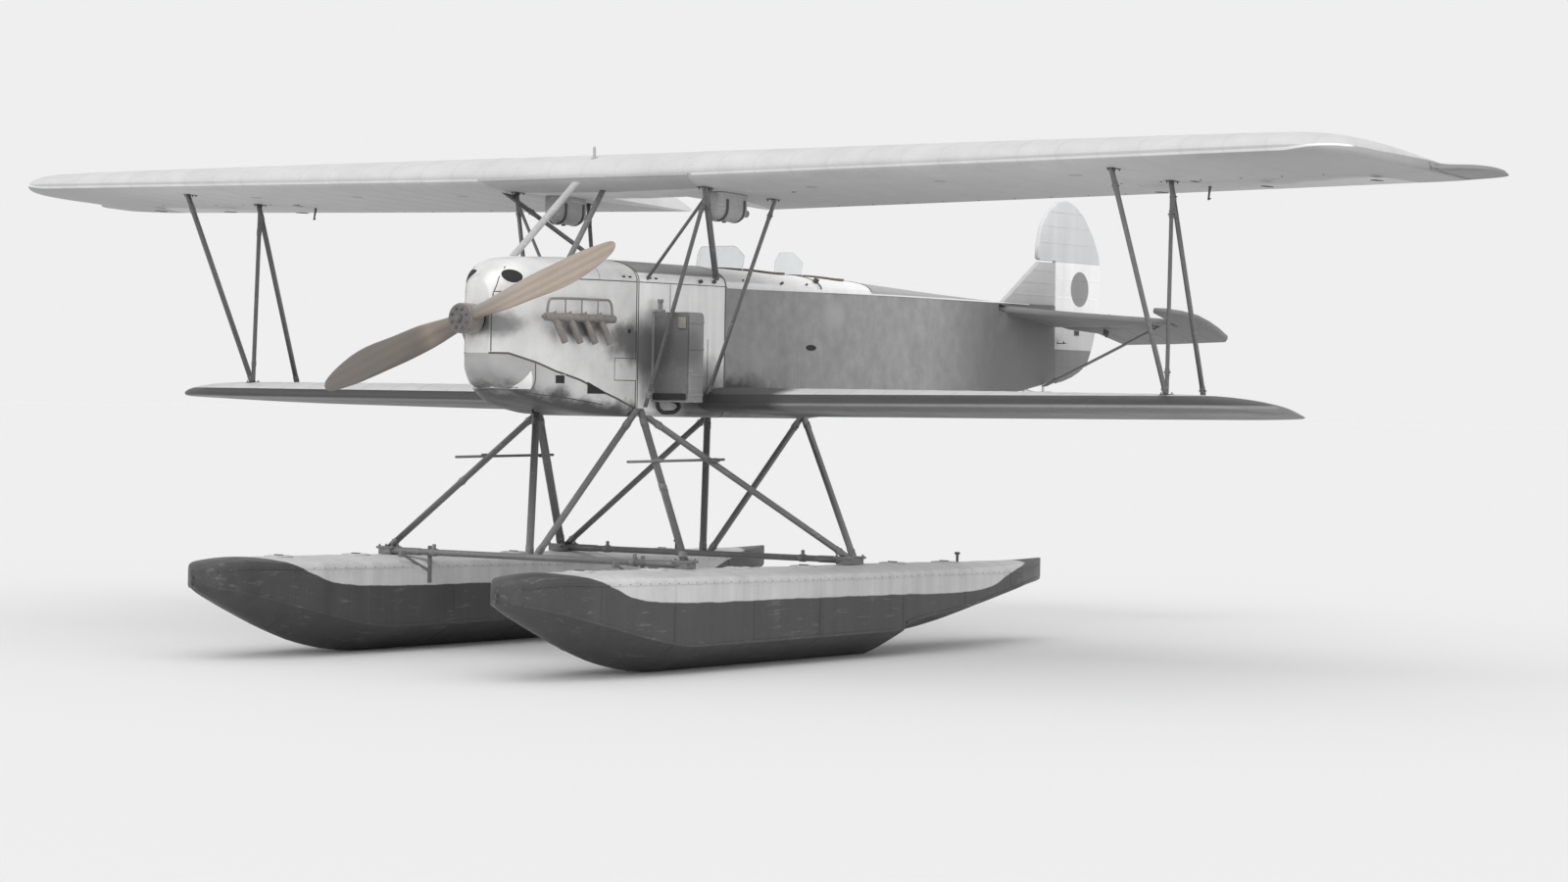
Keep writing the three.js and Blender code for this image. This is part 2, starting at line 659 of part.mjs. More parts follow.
const floatRows = [
  { at: -1390, half: 30, deck: -1957, chine: -2060, keel: -2085 },
  { at: -1340, half: 105, deck: -1918, chine: -2085, keel: -2130 },
  { at: -1200, half: 190, deck: -1894, chine: -2115, keel: -2200 },
  { at: -950, half: 275, deck: -1882, chine: -2170, keel: -2310 },
  { at: -600, half: 345, deck: -1892, chine: -2255, keel: -2450 },
  { at: -200, half: 392, deck: -1896, chine: -2350, keel: -2575 },
  { at: 200, half: 415, deck: -1901, chine: -2425, keel: -2645 },
  { at: 450, half: 420, deck: -1904, chine: -2450, keel: -2660 },
  { at: 3300, half: 420, deck: -1939, chine: -2450, keel: -2660 },
  { at: 3302, half: 420, deck: -1939, chine: -2400, keel: -2585 },
  { at: 4300, half: 385, deck: -1951, chine: -2300, keel: -2440 },
  { at: 5200, half: 280, deck: -1962, chine: -2190, keel: -2285 },
  { at: 5750, half: 150, deck: -1958, chine: -2135, keel: -2190 },
  { at: 6110, half: 22, deck: -1945, chine: -2110, keel: -2135 },
];

function floatHull() {
  const hull = loft(floatRows.map(({ at, half, deck: top, chine, keel }) => {
    const strip = Math.min(32, half * 0.6);
    const right = [
      [strip, keel], [half, chine], [half, top - Math.min(60, half * 0.6)], [half * 0.86, top - half * 0.05],
      [half * 0.45, top + half * 0.03],
    ];
    const left = right.slice().reverse().map(([x, z]) => [-x, z]);
    return [...right, ...left].map(([x, z]) => [floatOffset + x, at, z]);
  }));
  return hull;
}

const legSize = { chord: 76, thick: 42, sides: 14 };
const footLevel = -1871;
const headLevel = -742;
const spreaderLevel = -1892;
const spreaderHalf = 1545;
const stepLevel = -1100;
const bodyClear = () => tub(bodyRows, 1450, 4400, -1);

// Leg from a foot on the float gear up into the lower longeron, less the body.
function leg(foot, head, grow = 0, share = 1.06) {
  const size = { chord: legSize.chord + grow, thick: legSize.thick + grow, sides: legSize.sides };
  const top = head.map((v, i) => foot[i] + (v - foot[i]) * share);
  return strut(foot, top, size);
}

// Spreader bar across both floats with the two inner legs of its W; lift follows the deck.
function spreader(y, lift, inner, outer, plateFrom, plateTo) {
  const level = spreaderLevel + lift;
  const rings = [-spreaderHalf, spreaderHalf].map((x) => {
    const ring = [];
    for (let k = 0; k < 16; k += 1) {
      const angle = (k / 16) * Math.PI * 2;
      ring.push([x, y + 44 * Math.cos(angle), level + 26 * Math.sin(angle)]);
    }
    return ring;
  });
  let frame = loft(rings);
  for (const side of [-1, 1]) {
    frame = frame.add(box(side * floatOffset, (plateFrom + plateTo) / 2, level - 5, 120, plateTo - plateFrom, 50));
    frame = frame.add(leg([side * 30, y, level], [side * 490, inner, headLevel]).subtract(bodyClear()));
    frame = frame.subtract(leg([side * floatOffset, y, footLevel + lift], outer(side), 1.5));
  }
  return frame;
}

// Level step bar outside the front leg, which carries it, and past the diagonal leg.
function stepBar(front, cross) {
  const standOff = { front: 22, cross: 35 };
  const outward = [Math.cos(0.7), 0, Math.sin(0.7)];
  const onLeg = ([foot, head], away) => {
    const share = (stepLevel - foot[2]) / (head[2] - foot[2]);
    return foot.map((v, i) => blend(v, head[i], share) + outward[i] * away);
  };
  const fore = onLeg(front, standOff.front);
  const aft = onLeg(cross, standOff.cross);
  const beyond = (y) => fore.map((v, i) => blend(v, aft[i], (y - fore[1]) / (aft[1] - fore[1])));
  return pipe([beyond(930), beyond(2190)], 11);
}

function undercarriage() {
  const hull = floatHull();
  add('float_port', hull, 'hull');
  add('float_starboard', mirror(hull), 'hull');
  const frontFoot = 850;
  const rearFoot = 3165;
  const frontLift = 27;
  const frontHead = (side) => [side * 550, 1535, headLevel];
  const rearHead = (side) => [side * 520, 3850, headLevel];
  add('spreader_front', spreader(frontFoot, frontLift, 1475, frontHead, 790, 910), 'strut');
  add('spreader_rear', spreader(rearFoot, 0, 3826, rearHead, 2995, 3225), 'strut');
  const front = [[floatOffset, frontFoot, footLevel + frontLift], frontHead(1)];
  const rear = [[floatOffset, rearFoot, footLevel], rearHead(1)];
  const cross = [[floatOffset, 3095, footLevel], [555, 1588, headLevel]];
  const inner = [[30, frontFoot, spreaderLevel + frontLift], [490, 1475, headLevel]];
  const others = leg(...front, 1.5).add(leg(...inner, 1.5)).add(leg(...rear, 1.5));
  const legs = {
    front_float_strut: leg(...front).add(stepBar(front, cross)),
    rear_float_strut: leg(...rear),
    diagonal_float_strut: leg(...cross, 0, 1.012).subtract(others),
  };
  for (const [name, piece] of Object.entries(legs)) {
    const cut = piece.subtract(bodyClear());
    add(`${name}_port`, cut, 'strut');
    add(`${name}_starboard`, mirror(cut), 'strut');
  }
}

fuselage();
engine();
radiators();
propeller();
cockpits();
upperWing();
lowerWings();
cellule();
wingTanks();
tail();
undercarriage();

export default aircraft;
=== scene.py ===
import json
from math import cos, pi, radians, sin, sqrt

import bmesh
import bpy
from bmesh import ops
from mathutils import Matrix, Vector

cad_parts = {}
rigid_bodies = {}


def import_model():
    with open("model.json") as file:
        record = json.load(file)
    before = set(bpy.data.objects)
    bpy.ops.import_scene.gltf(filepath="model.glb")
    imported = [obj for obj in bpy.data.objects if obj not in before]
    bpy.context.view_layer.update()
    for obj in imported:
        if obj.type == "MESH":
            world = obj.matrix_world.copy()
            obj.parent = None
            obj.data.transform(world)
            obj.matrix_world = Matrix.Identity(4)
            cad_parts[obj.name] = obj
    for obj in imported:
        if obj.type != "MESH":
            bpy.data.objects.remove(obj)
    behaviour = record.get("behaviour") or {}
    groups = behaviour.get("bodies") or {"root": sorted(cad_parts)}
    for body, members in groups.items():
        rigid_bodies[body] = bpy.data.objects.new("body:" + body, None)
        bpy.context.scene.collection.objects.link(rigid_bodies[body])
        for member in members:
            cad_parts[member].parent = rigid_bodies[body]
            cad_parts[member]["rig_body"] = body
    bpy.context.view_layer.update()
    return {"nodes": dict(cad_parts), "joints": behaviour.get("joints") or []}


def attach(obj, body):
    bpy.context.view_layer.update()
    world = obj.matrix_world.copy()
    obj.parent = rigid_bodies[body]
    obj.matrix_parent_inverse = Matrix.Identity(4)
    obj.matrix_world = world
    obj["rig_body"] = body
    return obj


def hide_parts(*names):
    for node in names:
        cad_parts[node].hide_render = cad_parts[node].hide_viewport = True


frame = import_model()
nodes = frame["nodes"]
hub = Vector(next(j["pos_m"] for j in frame["joints"] if j["name"] == "propeller_spin"))
sides = {"port": 1, "starboard": -1}
print("frame loaded:", len(nodes), "nodes")


# Everything below is laid out in metres from the propeller hub, +X port, +Y aft,
# and each mesh is moved to the row frame once, when its piece is finished.

# building blocks for shader trees; newGroup and newMaterial open the tree that the others add to

opened = {}


def addNode(kind, **values):
    made = opened["tree"].nodes.new(kind)
    for key, value in values.items():
        setattr(made, key, value)
    return made


class Field:
    # an output of the open tree that takes part in sums like a number
    def __init__(self, socket):
        self.socket = socket

    def __add__(self, other):
        return maths("ADD", self, other)

    def __sub__(self, other):
        return maths("SUBTRACT", self, other)

    def __mul__(self, other):
        return maths("MULTIPLY", self, other)

    def __truediv__(self, other):
        return maths("DIVIDE", self, other)

    def __abs__(self):
        return maths("ABSOLUTE", self)


def plug(value, socket):
    # an output is linked, a number or colour is set
    if isinstance(value, Field):
        opened["tree"].links.new(value.socket, socket)
    else:
        socket.default_value = value


def plugAll(values, sockets):
    for label, value in values.items():
        plug(value, sockets[label])


def fieldsOf(node):
    return {socket.name: Field(socket) for socket in node.outputs}


def maths(operation, a, b=0.0):
    made = addNode("ShaderNodeMath", operation=operation)
    plug(a, made.inputs[0])
    plug(b, made.inputs[1])
    return Field(made.outputs[0])


def mixed(share, a, b):
    made = addNode("ShaderNodeMix", data_type="RGBA")
    for index, value in ((0, share), (6, a), (7, b)):
        plug(value, made.inputs[index])
    return Field(made.outputs[2])


def ranged(value, low, high, toLow=0.0, toHigh=1.0, smooth=True):
    made = addNode("ShaderNodeMapRange", interpolation_type="SMOOTHSTEP" if smooth else "LINEAR")
    for socket, number in zip(made.inputs, (value, low, high, toLow, toHigh)):
        plug(number, socket)
    return Field(made.outputs[0])


def over(value, edge, soft):
    # one above the edge and nought below it; a negative softness turns this round
    return ranged(value, edge - soft, edge + soft)


def places(scale=(1, 1, 1)):
    # object coordinates with the propeller hub as their centre
    moved = addNode("ShaderNodeMapping")
    plugAll({"Location": [-hub[i] * scale[i] for i in range(3)], "Scale": scale,
             "Vector": fieldsOf(addNode("ShaderNodeTexCoord"))["Object"]}, moved.inputs)
    return Field(moved.outputs[0])


def placesAlong():
    split = addNode("ShaderNodeSeparateXYZ")
    plug(places(), split.inputs[0])
    return fieldsOf(split)


def noise(where, scale, detail=4.0, rough=0.55):
    made = addNode("ShaderNodeTexNoise")
    plugAll({"Vector": where, "Scale": scale, "Detail": detail, "Roughness": rough}, made.inputs)
    return fieldsOf(made)["Fac"]


def newGroup(name, inputs, outputs):
    tree = opened["tree"] = bpy.data.node_groups.new(name, "ShaderNodeTree")
    for label, value in inputs.items():
        kind = "Float" if isinstance(value, float) else "Color"
        socket = tree.interface.new_socket(label, in_out="INPUT", socket_type="NodeSocket" + kind)
        socket.default_value = value
    for label in outputs:
        kind = "Color" if label == "Color" else "Float"
        tree.interface.new_socket(label, in_out="OUTPUT", socket_type="NodeSocket" + kind)
    return fieldsOf(addNode("NodeGroupInput"))


def closeGroup(**values):
    plugAll(values, addNode("NodeGroupOutput").inputs)
    return opened["tree"]


def useGroup(group, **values):
    made = addNode("ShaderNodeGroup", node_tree=group)
    plugAll(values, made.inputs)
    return fieldsOf(made)


def grey(level, warm=0.0):
    return (level * (1 + warm), level, level * (1 - warm), 1.0)


# shared effects

def makeWeathering():
    # cloudy fading, rain streaks and fine specks over a base colour
    given = newGroup(
        "weathering", {"Base": grey(0.5), "Cloud": 0.2, "CloudScale": 1.6, "Streak": 0.1, "Speck": 0.08},
        ("Color", "Mask", "Height"))
    where = places()
    cloud = noise(where, given["CloudScale"], 5.0, 0.6)
    streak = noise(places((9, 9, 0.8)), 1.0, 4.0, 0.6)
    speck = noise(where, 46.0, 3.0, 0.7)
    tone = (cloud - 0.5) * given["Cloud"] + (streak - 0.5) * given["Streak"] + (speck - 0.5) * given["Speck"]
    gain = addNode("ShaderNodeVectorMath", operation="SCALE")
    plug(given["Base"], gain.inputs[0])
    plug(tone * 2.0 + 1.0, gain.inputs["Scale"])
    return closeGroup(Color=Field(gain.outputs[0]), Mask=cloud, Height=cloud + speck * 0.3)


def makeScuffs():
    # thin scratches that run mostly fore and aft
    given = newGroup("scuffs", {"Amount": 0.5, "Scale": 30.0}, ("Mask", "Height"))
    long = noise(places((1.0, 0.12, 1.0)), given["Scale"], 3.0, 0.7)
    patch = noise(places(), 3.2, 3.0, 0.6)
    mask = ranged(long, 0.56, 0.66) * ranged(patch, 0.42, 0.62) * given["Amount"]
    return closeGroup(Mask=mask, Height=long * -1.0)


def wave(where, axis, **values):
    made = addNode("ShaderNodeTexWave", wave_type="BANDS", bands_direction=axis)
    plugAll({"Vector": where, **values}, made.inputs)
    return fieldsOf(made)["Fac"]


def makeWeave():
    # plain cloth weave under dope, from crossed sets of threads
    given = newGroup("clothWeave", {"Threads": 700.0}, ("Height", "Mask"))
    where = places()
    x, y, z = (wave(where, axis, Scale=given["Threads"] * 0.05) for axis in "XYZ")
    return closeGroup(Height=(x + y + z) * 0.333, Mask=noise(where, 160.0, 2.0))


def makeRibLines():
    # pale lines where the covering is glued to ribs set across X
    given = newGroup("ribLines", {"Spacing": 0.32, "Width": 0.03}, ("Mask", "Height"))
    away = maths("PINGPONG", placesAlong()["X"] / given["Spacing"], 0.5) * given["Spacing"]
    mask = ranged(away, given["Width"], given["Width"] * 0.35)
    return closeGroup(Mask=mask, Height=mask)


def makePaintEdge():
    # one where Value is above Level, with a slightly uneven brushed edge
    given = newGroup("paintEdge", {"Value": 0.0, "Level": 0.0, "Soft": 0.004, "Wander": 0.01}, ("Mask",))
    level = given["Level"] + (noise(places(), 5.0) - 0.5) * given["Wander"]
    return closeGroup(Mask=over(given["Value"], level, given["Soft"]))


def makeGrain():
    # wood grain along X, turned about Y, with the glue lines of the laminations
    given = newGroup(
        "woodGrain", {"Light": (0.3, 0.2, 0.12, 1), "Dark": (0.1, 0.06, 0.04, 1), "Layers": 55.0, "Turn": 0.0},
        ("Color", "Mask", "Height"))
    turned = addNode("ShaderNodeVectorRotate", rotation_type="Y_AXIS")
    plugAll({"Vector": places(), "Angle": given["Turn"]}, turned.inputs)
    stretch = addNode("ShaderNodeVectorMath", operation="MULTIPLY")
    plug(Field(turned.outputs[0]), stretch.inputs[0])
    plug((0.35, 3.0, 3.0), stretch.inputs[1])
    along = Field(stretch.outputs[0])
    fine = noise(along, 18.0, 6.0, 0.65)
    share = fine * 0.6 + wave(along, "Z", Scale=given["Layers"] * 0.03, Distortion=2.6, Detail=3.0) * 0.4
    return closeGroup(Color=mixed(ranged(share, 0.3, 0.72), given["Dark"], given["Light"]), Mask=share, Height=fine)


weathering = makeWeathering()
scuffs = makeScuffs()
clothWeave = makeWeave()
ribLines = makeRibLines()
paintEdge = makePaintEdge()
woodGrain = makeGrain()
print("shared shader groups made:", len(bpy.data.node_groups))


# materials

def newMaterial(name, roughness=0.5, metallic=0.0):
    made = bpy.data.materials.new(name)
    made.use_nodes = True
    opened["tree"] = made.node_tree
    plugAll({"Roughness": roughness, "Metallic": metallic}, inputsOf(made))
    return made


def inputsOf(made):
    return made.node_tree.nodes["Principled BSDF"].inputs


def dressed(made, colour, rough, height=None, strength=0.0, distance=0.0, **more):
    plugAll({"Base Color": colour, "Roughness": rough, **more}, inputsOf(made))
    if height:
        bump = addNode("ShaderNodeBump")
        plugAll({"Strength": strength, "Distance": distance, "Height": height}, bump.inputs)
        plug(Field(bump.outputs[0]), inputsOf(made)["Normal"])
    return made


def weathered(base, cloud, streak, speck, scale=1.6):
    return useGroup(weathering, Base=base, Cloud=cloud, CloudScale=scale, Streak=streak, Speck=speck)


def varied(worn, low, high):
    # roughness that follows the clouds of the weathering
    return ranged(worn["Mask"], 0.3, 0.7, low, high)


def stainedAndShaded(axis, cloud, colour, stains):
    # uneven oval stains and patches of painted shade: station, height, half length, half height, strength, tone
    for y, z, long, tall, share, tone in stains:
        across, up = (axis["Y"] - y) / long, (axis["Z"] - z) / tall
        far = maths("SQRT", across * across + up * up) + (cloud - 0.5) * 1.1
        colour = mixed(ranged(far, 1.0, 0.25) * share, colour, grey(tone))
    return colour


def lineLevel(along, line, lift):
    # height of a drawn line at each station; lift keeps the curve between nought and one
    first, last = line[0][0], line[-1][0]
    curve = addNode("ShaderNodeFloatCurve")
    plug(ranged(along, first, last, smooth=False), curve.inputs["Value"])
    points = curve.mapping.curves[0].points
    for y, z in line[1:-1]:
        points.new((y - first) / (last - first), z + lift)
    points[0].location = (0.0, line[0][1] + lift)
    points[-1].location = (1.0, line[-1][1] + lift)
    curve.mapping.update()
    return Field(curve.outputs[0]) - lift


# lower edge of the cowl's side sheets: station, height
chinLine = [(0.13, -0.262), (0.25, -0.262), (0.45, -0.33), (0.6, -0.395), (0.83, -0.46), (1.0, -0.526),
            (1.26, -0.6), (1.47, -0.67)]


def sheetMetal(name, tone, look):
    # satin sheet with scuffs, dull patches, soot stains and patches of painted shade and, on the cowl, a chin
    # darkened by painted shade and oil
    made = newMaterial(name, 0.4, look["metallic"])
    worn = weathered(grey(tone, 0.004), look["cloud"], look["streak"], 0.05, look.get("scale", 1.6))
    rubbed = useGroup(scuffs, Amount=0.35)
    colour = mixed(rubbed["Mask"], worn["Color"], grey(tone * 1.1))
    axis = placesAlong()
    if "chin" in look:
        # below its line the chin is darkened as painted shade, where the cowl curves under, and as oil stains
        below = over(axis["Z"] - lineLevel(axis["Y"], chinLine, 1.0), 0.0, -0.003)
        share = ranged(axis["Y"], 0.8, 0.3, 0.35, 1.0) * look["chin"]
        colour = mixed(below * share, colour, grey(tone * 0.25))
        # darker still low down, with a ragged edge: painted shade
        uneven = axis["Z"] + (worn["Mask"] - 0.5) * 0.35 + axis["Y"] * 0.15
        colour = mixed(over(uneven, -0.46, -0.06) * 0.9, colour, grey(tone * 0.1))
    colour = stainedAndShaded(axis, worn["Mask"], colour, look["stains"])
    if "topDark" in look:
        colour = mixed(over(axis["Z"], 0.412, 0.004), colour, mixed(0.85, colour, grey(look["topDark"])))
    rough = varied(worn, 0.34, 0.52) + rubbed["Mask"] * 0.15
    return dressed(made, colour, rough, worn["Height"] + rubbed["Height"] * 0.2, 0.25, 0.006)


def centreSectionShadow(axis, colour, look):
    # painted shadow on the lower lip of the centre section's leading edge, paler panel behind it
    away = abs(axis["X"]) + (axis["Y"] - look["lead"]) * look["slant"]
    inside = over(away, look["half"], -0.005) * over(axis["Z"], look["lip"], -0.004)
    own = mixed(over(axis["Y"], look["aft"], -0.01), grey(look["pale"]), grey(look["dark"]))
    return mixed(inside, colour, own)


def leadingEdgeShadeAndHighlight(axis, colour, look):
    # underside below the leading edge, darkened towards the tips as painted shade, and a thin painted highlight
    # along the edge
    away = abs(axis["X"])
    inner, outer, lift = look["tip"]
    portEnd, more = outer + 0.1, look["portLift"]
    level = away * look["rise"] + look["level"] + ranged(away, inner, outer, 0.0, lift)
    level = level + ranged(axis["X"], outer, portEnd, 0.0, more) - (axis["Y"] - look["lead"]) * look["fall"]
    height = axis["Z"] - level
    # painted shade on the underside towards the tips, darkest at the port tip
    under = mixed(ranged(away, 4.2, 6.3), grey(look["under"]), grey(look["tipUnder"]))
    under = mixed(ranged(axis["X"], outer, portEnd), under, grey(look["tipEnd"]))
    colour = mixed(over(height, 0.0, -0.002), colour, under)
    # painted highlight along the leading edge
    near = over(abs(height), 0.008, -0.002) * ranged(away, look["from"], look["from"] + 0.02)
    return mixed(near * ranged(axis["Y"], 1.75, 1.7), colour, grey(look["line"]))


def paintedEdgeBands(axis, colour, bands):
    # stripes of painted highlight and shade along the rounded front of a wing, rising to port only: low and high
    # edge, tone
    height = axis["Z"] + maths("MAXIMUM", axis["X"]) * -0.0094
    front = over(axis["Y"], 2.72, -0.02)
    for low, high, tone in bands:
        inside = over(height, low, 0.002) * over(height, high, -0.002)
        colour = mixed(inside * front, colour, grey(tone))
    return colour


def dopedCloth(name, tone, look):
    # fabric or plywood under dope, with rib lines where the piece has ribs
    rough = look["rough"]
    made = newMaterial(name, rough)
    axis = placesAlong()
    base = grey(tone)
    for low, high, share, other in look.get("aft", ()):
        base = mixed(ranged(axis["Y"], low, high) * share, base, grey(other))
    # painted light and shade on the leading edges of the wings
    for key, paint in (("edge", leadingEdgeShadeAndHighlight), ("centre", centreSectionShadow), ("bands", paintedEdgeBands)):
        if key in look:
            base = paint(axis, base, look[key])
    worn = weathered(base, look["cloud"], look["streak"], 0.06, look.get("scale", 1.6))
    colour = worn["Color"]
    height = useGroup(clothWeave)["Height"] * 0.05 + worn["Height"]
    if "ribs" in look:
        ribs = useGroup(ribLines, Spacing=look["ribs"], Width=0.02)
        colour = mixed(ribs["Mask"] * 0.1, colour, grey(tone * 0.6))
        height = height + ribs["Height"] * 0.3
    colour = stainedAndShaded(axis, worn["Mask"], colour, look.get("stains", ()))
    if "root" in look:  # painted shade with oil about the wing root: ends at, full within, share, tone
        far, near, share, oilAndShade = look["root"]
        away = abs(axis["X"]) + (worn["Mask"] - 0.5) * 0.8
        colour = mixed(ranged(away, far, near) * share, colour, grey(oilAndShade))
    return dressed(made, colour, varied(worn, rough - 0.08, rough + 0.1), height, 0.2, 0.004)


def tubePaint(name, tone, rough, stains=()):
    made = newMaterial(name, rough)
    worn = weathered(grey(tone), 0.25, 0.0, 0.25)
    colour = mixed(useGroup(scuffs, Amount=0.5, Scale=60.0)["Mask"], worn["Color"], grey(tone * 2.2))
    colour = stainedAndShaded(placesAlong(), worn["Mask"], colour, stains)
    return dressed(made, colour, varied(worn, rough - 0.1, rough + 0.1), worn["Height"], 0.15, 0.003)


floatLook = {
    "side": 0.54, "bottom": 0.056,
    # the dark bottom's upper edge: station, height
    "line": [(-1.4, -1.85), (-0.85, -1.875), (-0.68, -1.915), (-0.45, -2.0), (-0.15, -2.088), (0.3, -2.117),
             (1.58, -2.133), (2.96, -2.15), (4.45, -2.166), (4.78, -2.14), (5.16, -2.045), (5.6, -1.967),
             (6.12, -1.87)],
}


def floatPaint(name):
    made = newMaterial(name, 0.5)
    axis = placesAlong()
    level = lineLevel(axis["Y"], floatLook["line"], 2.7)
    light = useGroup(paintEdge, Value=axis["Z"], Level=level, Soft=0.006, Wander=0.02)["Mask"]
    upper = weathered(grey(floatLook["side"]), 0.22, 0.25, 0.06)
    lower = weathered(grey(floatLook["bottom"]), 0.4, 0.3, 0.2)
    rubbed = useGroup(scuffs, Amount=0.5, Scale=24.0)["Mask"] * 0.5
    colour = mixed(rubbed, mixed(light, lower["Color"], upper["Color"]), grey(0.3))
    return dressed(made, colour, varied(upper, 0.4, 0.6), upper["Height"], 0.25, 0.006)


rudderLook = {
    "top": 0.66, "band": 0.95, "disc": 0.28, "patch": 0.54, "low": 0.2,
    "topEdge": 0.812, "bandEdge": 0.30, "patchEdge": -0.04, "discAt": (9.29, 0.56), "discRadius": 0.172,
}


def rudderPaint(name):
    made = newMaterial(name, 0.55)
    axis = placesAlong()

    def past(value, level):
        return useGroup(paintEdge, Value=value, Level=level, Soft=0.004, Wander=0.006)["Mask"]

    top, band, patch = (past(axis["Z"], rudderLook[key + "Edge"]) for key in ("top", "band", "patch"))
    y, z = axis["Y"] - rudderLook["discAt"][0], axis["Z"] - rudderLook["discAt"][1]
    outside = past(maths("SQRT", y * y + z * z), rudderLook["discRadius"])
    colour = mixed(patch, grey(rudderLook["low"]), grey(rudderLook["patch"]))
    colour = mixed(band, colour, mixed(outside, grey(rudderLook["disc"]), grey(rudderLook["band"])))
    worn = weathered(mixed(top, colour, grey(rudderLook["top"], -0.015)), 0.16, 0.16, 0.05)
    return dressed(made, worn["Color"], varied(worn, 0.46, 0.66), worn["Height"], 0.2, 0.004)


def varnishedWood(name):
    made = newMaterial(name, 0.3)
    grain = useGroup(woodGrain, Light=(0.36, 0.297, 0.245, 1), Dark=(0.305, 0.25, 0.205, 1), Turn=radians(22.0))
    worn = weathered(grain["Color"], 0.18, 0.0, 0.1)
    along = placesAlong()["X"]
    # darker about the hub, painted shade with grime, and over the whole starboard blade, painted shade
    shadeAndGrime = maths("MAXIMUM", ranged(abs(along), 0.6, 0.1) * 0.6, ranged(along, -0.2, -0.5) * 0.78)
    colour = mixed(shadeAndGrime, worn["Color"], grey(0.09, 0.1))
    return dressed(made, colour, varied(worn, 0.26, 0.42), grain["Height"], 0.15, 0.002,
                   **{"Coat Weight": 0.6, "Coat Roughness": 0.2})


def castMetal(name, base, rough, metallic=0.0):
    made = newMaterial(name, rough, metallic)
    worn = weathered((*base, 1), 0.5, 0.1, 0.35)
    return dressed(made, worn["Color"], varied(worn, rough - 0.1, rough + 0.12), worn["Height"], 0.25, 0.003)


def plywood(name):
    made = newMaterial(name, 0.45)
    grain = useGroup(woodGrain, Light=(0.42, 0.29, 0.17, 1), Dark=(0.26, 0.16, 0.09, 1), Layers=18.0)
    worn = weathered(grain["Color"], 0.2, 0.1, 0.1)
    return dressed(made, worn["Color"], varied(worn, 0.38, 0.55), grain["Height"], 0.15, 0.0015)


def saddleLeather(name):
    made = newMaterial(name, 0.5)
    cells = addNode("ShaderNodeTexVoronoi", feature="DISTANCE_TO_EDGE")
    plugAll({"Vector": places(), "Scale": 150.0}, cells.inputs)
    creases = ranged(fieldsOf(cells)["Distance"], 0.0, 0.12)
    worn = weathered((0.16, 0.1, 0.07, 1), 0.4, 0.1, 0.1)
    colour = mixed(creases, grey(0.05, 0.2), worn["Color"])
    return dressed(made, colour, varied(worn, 0.42, 0.6), creases, 0.3, 0.0015)


def screenGlass(name):
    made = newMaterial(name, 0.06)
    worn = weathered((0.86, 0.9, 0.9, 1), 0.1, 0.1, 0.02)
    rough = ranged(worn["Mask"], 0.35, 0.75, 0.03, 0.16)
    return dressed(made, worn["Color"], rough, **{"Transmission Weight": 0.9, "IOR": 1.45})


metalLooks = {
    "cowl": {"metallic": 0.3, "cloud": 0.26, "scale": 4.0, "streak": 0.08, "chin": 0.55,
             # soot aft of the exhausts, painted shade with soot between the exhaust stubs, and the propeller's
             # painted shadow on the nose
             "stains": [(1.42, -0.14, 0.42, 0.25, 0.85, 0.07), (0.84, -0.06, 0.4, 0.11, 0.78, 0.07),
                        (0.17, -0.03, 0.23, 0.14, 0.72, 0.08)]},
    "front": {"metallic": 0.2, "cloud": 0.16, "streak": 0.18, "topDark": 0.11,
              "stains": [(1.66, -0.24, 0.42, 0.42, 0.85, 0.06), (2.35, -0.5, 0.7, 0.3, 0.8, 0.08),
                         (2.5, -0.66, 0.8, 0.16, 0.85, 0.05)]},
    "coaming": {"metallic": 0.15, "cloud": 0.06, "streak": 0.1, "stains": []},
}
clothLooks = {
    "body": {"rough": 0.6, "cloud": 0.42, "scale": 6.5, "streak": 0.04, "aft": [(5.8, 7.5, 0.75, 0.075)],
             "stains": [(2.85, -0.55, 0.8, 0.22, 0.9, 0.035), (4.31, 0.15, 0.24, 0.16, 0.2, 0.6),
                        (3.2, -0.3, 0.3, 0.3, 0.15, 0.5), (5.4, -0.1, 0.3, 0.25, 0.12, 0.5)]},
    "deck": {"rough": 0.62, "cloud": 0.2, "streak": 0.1},
    "upper": {"rough": 0.6, "cloud": 0.16, "scale": 3.0, "streak": 0.05, "ribs": 0.34,
              # centre: painted shadow under the centre section's leading edge, paler panel behind it
              "centre": {"half": 1.06, "lead": 1.39, "slant": 0.3, "lip": 1.166, "aft": 1.8, "dark": 0.47,
                         "pale": 0.8},
              # edge: painted shade under the leading edge towards the tips; its line is a painted highlight along
              # the edge
              "edge": {"level": 1.165, "lead": 1.39, "rise": 0.0105, "fall": 0.067, "from": 1.08,
                       "tip": (6.2, 6.7, 0.05), "portLift": 0.06, "under": 0.58, "tipUnder": 0.38,
                       "tipEnd": 0.24, "line": 0.86}},
    # root: painted shade with oil, darkest next to the fuselage
    "lower": {"rough": 0.55, "cloud": 0.2, "streak": 0.05, "ribs": 0.32, "root": (1.5, 1.15, 0.92, 0.045),
              # a pale band of painted highlight along the top of the leading edge, a band of painted shade below
              # it, then a fainter pale band
              "bands": [(-0.555, -0.3, 0.74), (-0.624, -0.555, 0.075), (-0.648, -0.630, 0.27)]},
    "tail": {"rough": 0.6, "cloud": 0.22, "streak": 0.08},
}
radiatorSoot = [(1.7, -0.2, 0.3, 0.25, 0.5, 0.05)]
